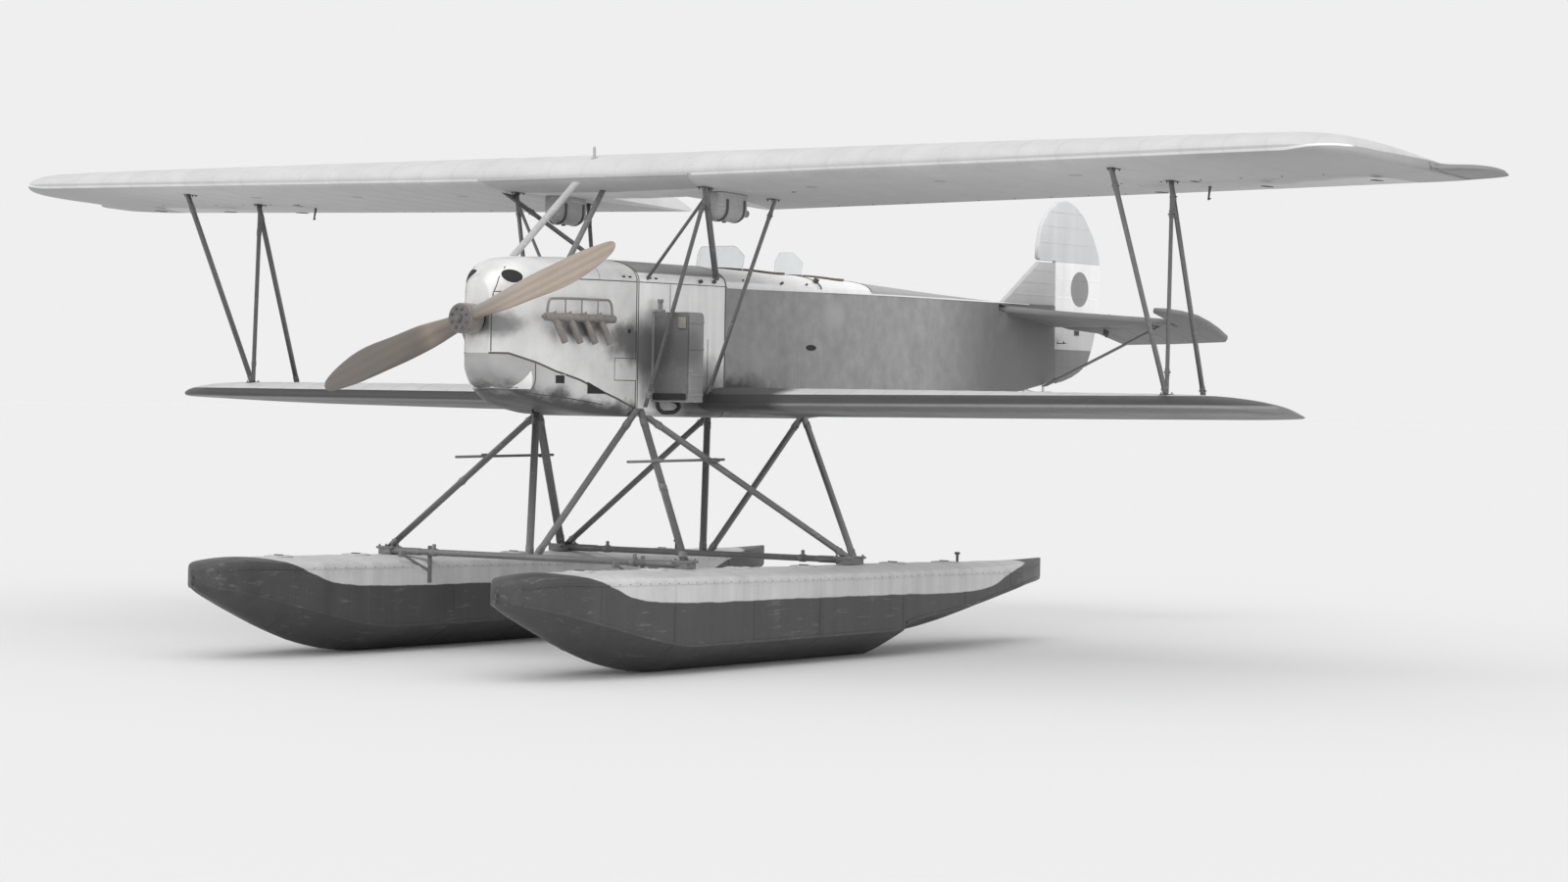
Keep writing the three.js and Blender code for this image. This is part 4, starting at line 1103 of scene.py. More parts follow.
dialRims, dialFaces, dialMarks, cockpitWood, cockpitMetal, grip = (bmesh.new() for _ in range(6))
for name, place in cockpits.items():
    y, half, reach = place["hatch"]
    rim = [(half * cos(a), y + reach * sin(a)) for a in turns(64)]
    rim = [(x, at, deckTop(x, at) - 0.002) for x, at in rim]
    roll = pipeAlong(rim, rimLook["radius"], 14, True)
    roll = finishPiece(roll, name + "_cockpit_rim", "saddleLeather", sharp=60)
    laces = bmesh.new()
    for a in turns(rimLook["stitches"]):
        x, at = (half + 0.012) * cos(a), y + (reach + 0.012) * sin(a)
        spot = (x, at, deckTop(x, at) + 0.008)
        plateOn(laces, spot, (0, 0, 1), (0.026, 0.004, 0.016), (cos(a), sin(a), 0), 0.0014)
    finishPiece(laces, name + "_rim_lacing", "tanThread")
    seatAt, level = place["seat"]
    finishPiece(bucket(seatAt, level), name + "_seat_bucket", "lightPaint", [name + "_seat"])
    low = Matrix.Translation((0, seatAt - 0.008, level + 0.05))
    upright = Matrix.Rotation(radians(-96), 4, "X") @ Matrix.Rotation(pi, 4, "Z")
    high = Matrix.Translation((0, seatAt + 0.128, level + 0.262)) @ upright
    for part, size, where in (("cushion", "seat", low), ("back_pad", "back", high)):
        body, piping = cushion(cushionLook[size], where)
        pad = finishPiece(body, name + "_seat_" + part, "saddleLeather", sharp=180)
        soft = pad.modifiers.new("soft", "SUBSURF")
        soft.levels = soft.render_levels = 1
        finishPiece(piping, name + "_" + part + "_piping", "tanThread")
    boardAt = place["panel"]
    wide = readCurve(bodyRows, boardAt)[0]
    addBlock(cockpitWood, (2 * (wide - 0.035), 0.012, 0.24), (0, boardAt, 0.20), 0.004)
    for x, z, radius in place["dials"]:
        dialOn(dialRims, dialFaces, dialMarks, (x, boardAt + 0.012, z), radius)
    base = readCurve(bodyRows, seatAt)[1] + 0.032
    for k in range(7):  # floor boards
        addBlock(cockpitWood, (0.1, 0.86, 0.012), (-0.33 + 0.11 * k, seatAt - 0.1, base), 0.002)
    for side in (1, -1):
        x = side * (wide - 0.045)
        for z in (0.30, -0.2):
            addPipe(cockpitMetal, [(x, boardAt - 0.1, z), (x - side * 0.03, seatAt + 0.36, z)], 0.012, 10)
        x -= side * 0.02
        for y in (seatAt - 0.3, seatAt + 0.1, seatAt + 0.34):
            addPipe(cockpitMetal, [(x, y, -0.6), (x, y, 0.3)], 0.01, 10)
# control stick, its crossbar and the throttle
stick = roundedPath([(0, 3.36, -0.69), (0, 3.35, -0.5), (0, 3.39, -0.25), (0, 3.43, -0.08)])
for bm, path, radius, around in (
        (cockpitMetal, stick, 0.013, 12),
        (cockpitMetal, [(-0.17, 3.28, -0.56), (0.17, 3.28, -0.56)], 0.013, 12),
        (cockpitMetal, [(-0.36, 3.48, 0.02), (-0.30, 3.44, 0.025)], 0.006, 8),
        (grip, [(0, 3.428, -0.1), (0, 3.44, -0.04), (0, 3.45, 0.0)], [0.019, 0.021, 0.014], 14),
        (grip, [(-0.30, 3.42, 0.02), (-0.30, 3.46, 0.03)], 0.016, 12)):
    addPipe(bm, path, radius, around)
for bm, name, look in ((grip, "stick_grip", "saddleLeather"), (cockpitWood, "cockpit_boards", "plywood"),
                       (cockpitMetal, "cockpit_tubes", "strutPaint"), (dialRims, "dial_rims", "darkIron"),
                       (dialFaces, "dial_faces", "paleEnamel"), (dialMarks, "dial_marks", "sootBlack")):
    finishPiece(bm, name, look)

coaming = {
    # small fittings: station, height, radius, how far they stand out
    "fittings": [(3.495, 0.392, 0.011, 0.03), (3.88, 0.398, 0.009, 0.02), (4.078, 0.431, 0.024, 0.034),
                 (2.95, 0.4, 0.008, 0.016)],
    "hoops": (4.10, 4.925), "above": 0.012, "screws": [2.73 + 0.2 * k for k in range(11)],
}
coamingParts, coamingRivets = bmesh.new(), bmesh.new()
for side in (1, -1):
    for y, z, radius, tall in coaming["fittings"]:
        spot, normal = hullPoint(bodyRows, y, z, side)
        addDisc(coamingParts, spot + normal * tall / 2, normal, radius, tall, 16, 0.003)
    line = [(y, readCurve(bodyRows, y)[2] + coaming["above"]) for y in coaming["screws"]]
    for spot, normal in hullLine(bodyRows, line, side, 0.07):
        headOn(coamingRivets, spot, normal, 0.005)
for y in coaming["hoops"]:
    joinIn(coamingParts, hullHoop(bodyRows, y, 0.012, 0.003, readCurve(bodyRows, y)[2] + coaming["above"]))
finishPiece(coamingParts, "coaming_fittings", "darkIron")
finishPiece(coamingRivets, "coaming_screws", "coamingMetal")

screens = {
    "windscreen": {"half": 0.258, "at": 3.31, "reach": 0.085, "top": 0.708, "lean": 0.03, "trim": 0.078},
    "rear_windscreen": {"half": 0.158, "at": 4.32, "reach": 0.06, "top": 0.702, "lean": 0.02, "trim": 0.085},
}


def screenSpot(screen, across, up):
    # across and up run from nought to one over the bent pane
    a = pi * (0.1 + 0.8 * across)
    x = screen["half"] * cos(a)
    spare = screen["half"] * cos(pi * 0.1) - abs(x)
    cut = max(0.0, screen["trim"] - spare)
    y = screen["at"] - screen["reach"] * sin(a)
    low = deckTop(x, y)
    high = screen["top"] - cut ** 1.4 * (screen["trim"] ** -0.4) * 1.05
    return Vector((x, y + screen["lean"] * up, low + (high - low) * up))


for name, screen in screens.items():
    pane = bmesh.new()
    ops.create_grid(pane, x_segments=36, y_segments=8, size=0.5)
    for v in pane.verts:
        v.co = screenSpot(screen, v.co.x + 0.5, v.co.y + 0.5)
    ops.recalc_face_normals(pane, faces=pane.faces)
    ops.solidify(pane, geom=list(pane.faces), thickness=0.004)
    finishPiece(pane, name + "_pane", "screenGlass", [name], 50)
    border = [(0, k / 6) for k in range(6)] + [(k / 40, 1) for k in range(41)]
    border = [screenSpot(screen, *p) for p in border + [(1, 1 - k / 6) for k in range(1, 7)]]
    finishPiece(pipeAlong(border, 0.004, 8), name + "_edging", "coamingMetal")
    foot = pipeAlong([screenSpot(screen, k / 40, 0) + Vector((0, -0.002, 0.004)) for k in range(41)], 0.009, 10)
    for k in range(1, 8):
        headOn(foot, screenSpot(screen, k / 8, 0) + Vector((0, -0.012, 0.006)), (0, -1, 0.3), 0.005, 0.6)
    finishPiece(foot, name + "_foot", "darkIron")
print("cockpits made")


# wings

wingCurve = [
    (0, 0.32, 0.32), (0.006, 0.44, 0.22), (0.02, 0.56, 0.14), (0.05, 0.7, 0.07), (0.1, 0.84, 0.02), (0.17, 0.95, 0),
    (0.27, 1, 0), (0.38, 0.985, 0), (0.5, 0.91, 0), (0.62, 0.79, 0), (0.74, 0.61, 0), (0.87, 0.36, 0), (1, 0.08, 0),
]
rootedCurve = [(sqrt(along), top, under) for along, top, under in wingCurve]
upperWing = {
    "slope": -0.042, "from": 1.75, "spacing": 0.34, "sag": 0.0012, "taper": 6.12,
    # half span, leading and trailing edge, level and depth
    "plan": [
        (0, 1.390, 3.410, 1.080, 0.312), (4.300, 1.390, 3.410, 1.145, 0.245),
        (6.150, 1.390, 3.410, 1.176, 0.206), (6.320, 1.405, 3.410, 1.179, 0.198),
        (6.450, 1.455, 3.410, 1.181, 0.184), (6.560, 1.560, 3.410, 1.183, 0.164),
        (6.640, 1.710, 3.410, 1.185, 0.142), (6.700, 1.960, 3.410, 1.187, 0.116),
        (6.735, 2.300, 3.410, 1.189, 0.090), (6.760, 2.720, 3.410, 1.191, 0.068),
        (6.830, 2.815, 3.410, 1.194, 0.062), (6.980, 2.880, 3.398, 1.200, 0.054),
        (7.070, 2.960, 3.372, 1.204, 0.044), (7.115, 3.050, 3.330, 1.208, 0.032),
        (7.135, 3.140, 3.260, 1.211, 0.020),
    ],
}
lowerWing = {
    "slope": -0.03, "from": 2.7, "spacing": 0.32, "sag": 0.002, "taper": 4.75,
    "plan": [
        (0, 2.350, 3.690, -0.700, 0.212), (4.800, 2.350, 3.690, -0.655, 0.158),
        (5.100, 2.362, 3.655, -0.650, 0.142), (5.300, 2.405, 3.575, -0.646, 0.120),
        (5.420, 2.458, 3.470, -0.643, 0.098), (5.520, 2.545, 3.270, -0.639, 0.074),
        (5.580, 2.650, 3.080, -0.635, 0.052), (5.605, 2.760, 2.950, -0.630, 0.034),
    ],
}
chordSteps = 20


def wingLevel(wing, x, y, top):
    lead, trail, base, deep = readCurve(wing["plan"], abs(x))
    share = min(1.0, max(0.0, (y - lead) / (trail - lead)))
    return base + wing["slope"] * (y - wing["from"]) + deep * readCurve(rootedCurve, sqrt(share))[0 if top else 1]


def wingRing(wing, x):
    lead, trail = readCurve(wing["plan"], abs(x))[:2]
    dip = wing["sag"] * sin(pi * abs(x) / wing["spacing"]) ** 2 if abs(x) < wing["taper"] else 0.0

    def spot(k, top):
        share = (k / chordSteps) ** 2
        y = lead + (trail - lead) * share
        fade = sin(pi * min(1.0, max(0.0, (share - 0.08) / 0.92))) ** 0.5
        return Vector((x, y, wingLevel(wing, x, y, top) + (-dip if top else dip) * fade))

    return [spot(k, True) for k in range(chordSteps + 1)] + [spot(k, False) for k in range(chordSteps, 0, -1)]


def wingStations(wing, start, end):
    step = wing["spacing"] / 4
    inner = [k * step for k in range(int(start / step) + 1, int(wing["taper"] / step) + 1)]
    tip = [wing["taper"] + (end - wing["taper"]) * sin(k / 30 * pi / 2) for k in range(1, 31)]
    return [start] + [x for x in inner if start + 0.01 < x < wing["taper"] - 0.01] + tip


def carved(bm, cutter, keep=False):
    # cuts one closed mesh with another, or keeps only what both share
    made = [shown("work", asMesh(bm, "work")), shown("tool", asMesh(cutter, "tool"))]
    cut = made[0].modifiers.new("cut", "BOOLEAN")
    cut.operation = "INTERSECT" if keep else "DIFFERENCE"
    cut.solver = "EXACT"
    cut.object = made[1]
    bpy.context.view_layer.update()
    result = bmesh.new()
    result.from_object(made[0], bpy.context.evaluated_depsgraph_get())
    for body in made:
        mesh = body.data
        bpy.data.objects.remove(body)
        bpy.data.meshes.remove(mesh)
    return result


aileron = {"hinge": 2.85, "level": 1.21, "root": 4.3, "end": 7.335, "nose": 0.112, "clear": 0.009, "tipCut": 6.762,
           "room": 0.45, "back": 1.0, "tip": 7.23, "edge": 0.0001}


def flapSpace(side, grow, start, tipFrom):
    # the room of an aileron: a round nose along the hinge and all behind it; the horn's room
    hinge, level, radius = aileron["hinge"], aileron["level"], aileron["nose"] + grow
    low, high, back = level - aileron["room"], level + aileron["room"], start + aileron["back"]
    nose = [(hinge + radius * cos(a), level + radius * sin(a)) for a in turns(24, -pi / 2, -pi) + [-1.5 * pi]]
    ring = [(back, low), (start, low)] + nose + [(start, high), (back, high)]
    rooms = loftRings([[Vector((side * x, y, z)) for y, z in ring] for x in (aileron["root"], aileron["end"])])
    tip, wide = side * aileron["tip"], 2 * (aileron["tip"] - tipFrom)
    return rooms, roundedBlock((wide, 1.5, 0.9), (tip, 3.04, level), aileron["edge"])


def wingLoft(wing, stations):
    return loftRings([wingRing(wing, x) for x in stations])


upperStations = wingStations(upperWing, 0.0, upperWing["plan"][-1][0])
fixed = wingLoft(upperWing, [-x for x in reversed(upperStations[1:])] + upperStations)
fixed = carved(fixed, roundedBlock((0.78, 1.4, 0.9), (0, 3.0, 1.2), aileron["edge"]))
for side in (1, -1):
    for room in flapSpace(side, aileron["clear"], aileron["hinge"] - 0.001, aileron["tipCut"]):
        fixed = carved(fixed, room)
finishPiece(fixed, "upper_wing_skin", "upperWingSkin", ["upper_wing"], 32)
for name, side in sides.items():
    flapRooms, flapTip = flapSpace(1, 0.0, aileron["hinge"], aileron["tipCut"] + 0.01)
    middle = (aileron["root"] - 0.5, aileron["hinge"], aileron["level"])
    inner = roundedBlock((1.0 + 2 * aileron["clear"], 3.0, 2.0), middle, aileron["edge"])
    blank = carved(wingLoft(upperWing, [x for x in upperStations if x > 4.1]), inner)
    rear = joinIn(carved(blank.copy(), flapRooms, keep=True), carved(blank, flapTip, keep=True))
    node = "aileron_" + name
    finishPiece(sided(rear, side), node + "_skin", "upperWingSkin", [node], 32, node)
for name, side in sides.items():
    panel = wingLoft(lowerWing, wingStations(lowerWing, 0.512, lowerWing["plan"][-1][0]))
    finishPiece(sided(panel, side), "lower_wing_" + name + "_skin", "lowerWingSkin", ["lower_wing_" + name], 32)
print("wings made")


# fittings on the wings

def wingSpot(wing, x, y, top=True):
    # place and outward normal on a wing's skin
    def level(x, y):
        return wingLevel(wing, x, y, top)

    along = Vector((0, 0.02, level(x, y + 0.01) - level(x, y - 0.01)))
    across = Vector((0.04, 0, level(x + 0.02, y) - level(x - 0.02, y)))
    normal = across.cross(along).normalized()
    return Vector((x, y, level(x, y))), normal if top else -normal


def wingStrip(bm, wing, x, start, end, top, width, proud):
    # strip laid across a wing's skin at one place of the span
    pairs = [wingSpot(wing, p.x, p.y, top) for p in spaced([(x, start, 0), (x, end, 0)], 0.06)]
    addBand(bm, pairs, width, proud, 0.002)


wingFittings = {
    "tape": (0.026, 0.0009), "lowTape": (0.024, 0.0009), "joint": 1.095, "break": 4.28,
    "struts": [(4.70, 1.75), (4.70, 2.64), (0.96, 1.765), (0.96, 2.712)], "lowStruts": [(4.71, 2.59), (4.71, 3.18)],
    "windows": (1.8, 3.0, 4.2), "horns": {"port": 4.84, "starboard": 4.33}, "hinges": (4.45, 5.35, 6.25),
    "dot": (1.454, 2.296),
    "lip": [(-1.06, 1.398, 1.172), (-0.5, 1.397, 1.173), (0.5, 1.397, 1.173), (1.06, 1.398, 1.172)],
}
tapes = bmesh.new()
for side in (1, -1):
    for k in range(3, 18):  # ribs under the doped skin
        x = upperWing["spacing"] * k
        if abs(x - wingFittings["break"]) < 0.05 or x > 6.0:
            continue
        end = 3.36 if x < 4.27 else 2.70
        for start, top in ((1.47, True), (1.60, False)):
            wingStrip(tapes, upperWing, side * x, start, end, top, *wingFittings["tape"])
    for top in (True, False):
        wingStrip(tapes, upperWing, side * wingFittings["joint"], 1.405, 3.39, top, 0.05, 0.0014)
finishPiece(tapes, "upper_wing_tapes", "upperWingSkin")
for name, side in sides.items():
    lowTapes = bmesh.new()
    for k in range(2, 15):
        x = lowerWing["spacing"] * k
        for top in (True, False):
            wingStrip(lowTapes, lowerWing, side * x, 2.42, 3.62 if x < 4.9 else 3.5, top, *wingFittings["lowTape"])
    finishPiece(lowTapes, "lower_wing_tapes_" + name, "lowerWingSkin")

wingMetal, paleParts = bmesh.new(), bmesh.new()
for side in (1, -1):
    for wing, top, long, rise in ((upperWing, False, 0.125, -0.004), (lowerWing, True, 0.12, 0.003)):
        for x, y in wingFittings["lowStruts" if top else "struts"]:
            spot, normal = wingSpot(wing, side * x, y, top)
            plateOn(wingMetal, spot, normal, (long, 0.065, 0.006))
            for dy in (-0.048, 0.048):
                for dx in (-0.02, 0.02):
                    boltOn(wingMetal, spot + Vector((dx, dy, rise)), normal, 0.005)
    x, y = wingFittings["dot"]
    addDisc(wingMetal, *wingSpot(upperWing, side * x, y, False), 0.016, 0.008, 16, 0.002)
    for top in (True, False):  # inspection windows and drain eyelets
        for x in wingFittings["windows"]:
            addDisc(paleParts, *wingSpot(upperWing, side * x, 2.05, top), 0.052, 0.004, 28, 0.001)
    for k in range(3, 18):
        x, y = upperWing["spacing"] * (k + 0.5), 3.33 if k < 12 else 2.66
        addDisc(wingMetal, *wingSpot(upperWing, side * x, y, False), 0.009, 0.005, 14, 0.001)
for name, side in sides.items():  # plates over the aileron horns
    spot, normal = wingSpot(upperWing, side * wingFittings["horns"][name], 2.74, False)
    plateOn(wingMetal, spot, normal, (0.09, 0.05, 0.005))
# pale lip and vent of the centre section
addPipe(paleParts, wingFittings["lip"], 0.010, 10)
spot, normal = wingSpot(upperWing, 0.0, 1.56)
addDisc(paleParts, spot + normal * 0.003, normal, 0.026, 0.01, 24, 0.003)
vent = [spot + Vector((0, 0, rise)) for rise in (0, 0.03, 0.085, 0.095)]
addPipe(paleParts, vent, [0.013, 0.012, 0.012, 0.004], 14)
finishPiece(wingMetal, "wing_fittings", "darkIron")
finishPiece(paleParts, "wing_pale_parts", "lightPaint")
for name, side in sides.items():
    horn = bmesh.new()
    x = side * wingFittings["horns"][name]
    addPipe(horn, [(x, 2.98, 1.09), (x, 2.97, 1.05), (x, 2.955, 0.985)], [0.012, 0.009, 0.007], 12)
    boltOn(horn, (x + 0.006, 2.955, 0.995), (1, 0, 0), 0.006)
    for hinge in wingFittings["hinges"]:
        addBlock(horn, (0.05, 0.12, 0.006), (side * hinge, 2.93, 1.045 + (hinge - 4.3) * 0.028), 0.002)
    finishPiece(horn, "aileron_" + name + "_fittings", "darkIron", body="aileron_" + name)

# tanks under the wing: straps, drain and cap
tank = {"x": 0.83, "z": 0.948, "radius": 0.103, "rise": 1.02, "straps": (2.12, 2.35)}
for name, side in sides.items():
    straps = bmesh.new()
    for y in tank["straps"]:
        pairs = []
        for a in [pi] + turns(20, pi, pi) + [2 * pi, 2 * pi]:
            out = Vector((side * cos(a), 0, sin(a)))
            pairs.append((Vector((side * tank["x"], y, tank["z"])) + out * tank["radius"], out))
        pairs[0][0].z = pairs[-1][0].z = tank["rise"]
        addBand(straps, pairs, 0.026, 0.003)
    addDisc(straps, (side * tank["x"], 2.21, 0.848), (0, 0, 1), 0.018, 0.02, 12, 0.003)
    addPipe(straps, [(side * tank["x"], 2.43, 0.925), (side * tank["x"], 2.47, 0.925)], 0.036, 20)
    finishPiece(straps, "wing_tank_straps_" + name, "darkIron")
print("wing fittings made")


# floats

floatShape = {
    "offset": 1.505,
    # station, half width, deck, chine, keel
    "rows": [
        (-1.390, 0.030, -1.957, -2.060, -2.085), (-1.340, 0.105, -1.918, -2.085, -2.130),
        (-1.200, 0.190, -1.894, -2.115, -2.200), (-0.950, 0.275, -1.882, -2.170, -2.310),
        (-0.600, 0.345, -1.892, -2.255, -2.450), (-0.200, 0.392, -1.896, -2.350, -2.575),
        (0.200, 0.415, -1.901, -2.425, -2.645), (0.450, 0.420, -1.904, -2.450, -2.660),
        (3.300, 0.420, -1.939, -2.450, -2.660), (3.302, 0.420, -1.939, -2.400, -2.585),
        (4.300, 0.385, -1.951, -2.300, -2.440), (5.200, 0.280, -1.962, -2.190, -2.285),
        (5.750, 0.150, -1.958, -2.135, -2.190), (6.110, 0.022, -1.945, -2.110, -2.135),
    ],
    "stations": [-1.39, -1.38, -1.365, -1.34, -1.31, -1.26, -1.2, -1.13, -1.05, -0.95, -0.85, -0.73, -0.6, -0.47,
                 -0.33, -0.2, -0.07, 0.07, 0.2, 0.33, 0.45, 0.8, 1.3, 1.8, 2.3, 2.8, 3.3, 3.302, 3.5, 3.7, 3.9,
                 4.1, 4.3, 4.5, 4.7, 4.9, 5.05, 5.2, 5.35, 5.5, 5.62, 5.75, 5.86, 5.96, 6.04, 6.11],
}


def floatRing(y):
    half, deck, chine, keel = readCurve(floatShape["rows"], y)
    strip, corner, crown = min(0.032, half * 0.6), min(0.06, half * 0.6), half * 0.86
    right = [(strip, keel)]
    for t in (k / 5 for k in range(1, 6)):  # bottom, slightly hollow near the chine
        right.append((strip + (half - strip) * t, keel + (chine - keel) * (t ** 1.15)))
    right += [(half, chine + (deck - corner - chine) * k / 3) for k in range(1, 4)]
    for a in (k / 5 * pi / 2 for k in range(1, 6)):  # rounded deck edge
        right.append((half - half * 0.14 * (1 - cos(a)), deck - corner + (corner - half * 0.05) * sin(a)))
    for x in (crown * (1 - k / 4) for k in range(1, 5)):  # crowned deck
        right.append((x, deck - half * 0.05 + half * 0.08 * (1 - (x / crown) ** 2)))
    left = [(-x, z) for x, z in reversed(right[:-1])]
    return [Vector((floatShape["offset"] + x, y, z)) for x, z in right + left]


for name, side in sides.items():
    hull = loftRings([floatRing(y) for y in floatShape["stations"]])
    finishPiece(sided(hull, side), "float_" + name + "_skin", "floatPaint", ["float_" + name], 28)
print("floats made")


# propeller

propeller = {
    "angle": 22.0,
    # station, width, thickness, pitch in degrees, shift of the chord towards the trailing side
    "rows": [(0.06, 0.140, 0.120, 54, 0.0), (0.2, 0.168, 0.092, 44, 0.006), (0.42, 0.212, 0.062, 31, 0.017),
             (0.7, 0.226, 0.044, 22, 0.028), (1.0, 0.238, 0.032, 17, 0.048), (1.12, 0.230, 0.028, 15, 0.050),
             (1.25, 0.204, 0.024, 14, 0.047), (1.38, 0.162, 0.020, 13, 0.043), (1.47, 0.122, 0.016, 12, 0.037),
             (1.525, 0.078, 0.012, 12, 0.033), (1.545, 0.034, 0.009, 12, 0.030)],
    "stations": [0.06, 0.1, 0.15, 0.2, 0.26, 0.33, 0.42, 0.52, 0.61, 0.7, 0.8, 0.9, 1.0, 1.09, 1.17, 1.25, 1.32,
                 1.38, 1.43, 1.47, 1.495, 1.515, 1.53, 1.538, 1.543, 1.545],
    # discs of the hub along its axis: station, radius, thickness, corners, rounding
    "hub": [(0.083, 0.105, 0.012, 48, 0.003), (0.13, 0.044, 0.12, 32), (-0.096, 0.034, 0.03, 6, 0.002),
            (-0.112, 0.02, 0.02, 20, 0.002)],
    "bolts": 8, "boltCircle": 0.078,
}


def bladeRing(at):
    wide, deep, pitch, shift = readCurve(propeller["rows"], at)
    turn = radians(pitch)
    ring = []
    for a in turns(28):
        across = cos(a) * wide / 2 - shift
        thick = sin(a) * deep / 2 * (1.0 if sin(a) > 0 else 0.75)
        ring.append(Vector((at, across * sin(turn) - thick * cos(turn), across * cos(turn) + thick * sin(turn))))
    return ring


screw = disc((0, 0, 0), (0, 1, 0), 0.118, 0.16, 48, 0.012)
for turn in (0, pi):
    blade = loftRings([bladeRing(x) for x in propeller["stations"]])
    ops.rotate(blade, verts=blade.verts, cent=(0, 0, 0), matrix=Matrix.Rotation(turn, 4, "Y"))
    joinIn(screw, blade)
spin = Matrix.Rotation(-radians(propeller["angle"]), 4, "Y")
ops.rotate(screw, verts=screw.verts, cent=(0, 0, 0), matrix=spin)
finishPiece(screw, "propeller_wood", "varnishedWood", ["propeller"], 40, "propeller")
hubMetal = disc((0, -0.083, 0), (0, 1, 0), 0.105, 0.012, 48, 0.003)
for at, *given in propeller["hub"]:
    addDisc(hubMetal, (0, at, 0), (0, 1, 0), *given)
for a in turns(propeller["bolts"], pi / propeller["bolts"]):
    x, z = propeller["boltCircle"] * cos(a), propeller["boltCircle"] * sin(a)
    addDisc(hubMetal, (x, -0.095, z), (0, 1, 0), 0.012, 0.014, 6, 0.001)
    addDisc(hubMetal, (x, -0.104, z), (0, 1, 0), 0.006, 0.012, 10)
finishPiece(hubMetal, "propeller_hub_plate", "wornSteel", (), 30, "propeller")
print("propeller made")


# exhausts and radiators

exhaust = {
    "count": 4, "first": 0.494, "gap": 0.162, "level": 0.026, "drop": -0.165, "radius": 0.028, "wall": 0.004,
    "ends": (0.40, 1.15), "log": 0.032, "rail": 0.010, "railLevel": 0.175, "posts": (0.615, 0.79, 0.965),
    "post": 0.006,
}


def besideCowl(y, z, inward=0.0):
    # a place on the slanted line along which the log lies
    return Vector((0.455 + (0.556 - 0.455) * (y - 0.4) / 0.77 - inward, y, z))


for name, side in sides.items():
    (start, end), level, size = exhaust["ends"], exhaust["level"], exhaust["log"]
    line = [besideCowl(y, level) for y in (start, start + 0.004, start + 0.01, 0.78, end - 0.01, end - 0.004, end)]
    log = pipeAlong(line, [size * share for share in (0.75, 0.93, 1, 1, 1, 0.93, 0.75)], 24)
    addDisc(log, besideCowl(start, level) - Vector((0, 0.008, 0)), (0, 1, 0), 0.018, 0.03, 16, 0.004)
    mouths = bmesh.new()
    for k in range(exhaust["count"]):
        y = exhaust["first"] + exhaust["gap"] * k
        low = besideCowl(y + 0.11, exhaust["drop"], -0.008) + Vector((0, 0.005, 0))
        top = besideCowl(y, level)
        path = roundedPath([top, top.lerp(low, 0.35) + Vector((0.006, -0.004, 0)), low], 5)
        bore = exhaust["radius"] - exhaust["wall"]
        addPipe(log, path + [low, path[-2], path[-4], path[-5]],
                [exhaust["radius"]] * len(path) + [bore, bore, bore - 0.001, 0.012], 20)
        addDisc(log, top, (0, 1, 0), size + 0.006, 0.045, 24, 0.006)
        for dz in (-1, 1):
            boltOn(log, top + Vector((0.012, 0, dz * 0.035)), (0.6, 0, dz), 0.007)
        # dark disc in each stub's mouth: painted shade inside the pipe
        addDisc(mouths, low + Vector((-0.002, -0.007, 0.012)), (0, -0.45, 0.86), 0.023, 0.003, 20)
    if side > 0:  # the rail over the port stubs
        high = exhaust["railLevel"]
        rail = [(0.425, 0.036, 0.004), (0.432, high - 0.06, 0.003), (0.465, high - 0.008, 0.002),
                (0.78, high, 0.002), (1.07, high, 0.002), (1.12, high - 0.05, 0.005), (1.13, 0.036, 0.006)]
        addPipe(log, roundedPath([besideCowl(*place) for place in rail], 8), exhaust["rail"], 12)
        for y in exhaust["posts"]:
            addPipe(log, [besideCowl(y, level), besideCowl(y, high)], exhaust["post"], 8)
    finishPiece(sided(log, side), "exhaust_" + name + "_manifold", "hotIron", ["exhaust_" + name], 40)
    finishPiece(sided(mouths, side), "exhaust_" + name + "_mouths", "sootBlack")

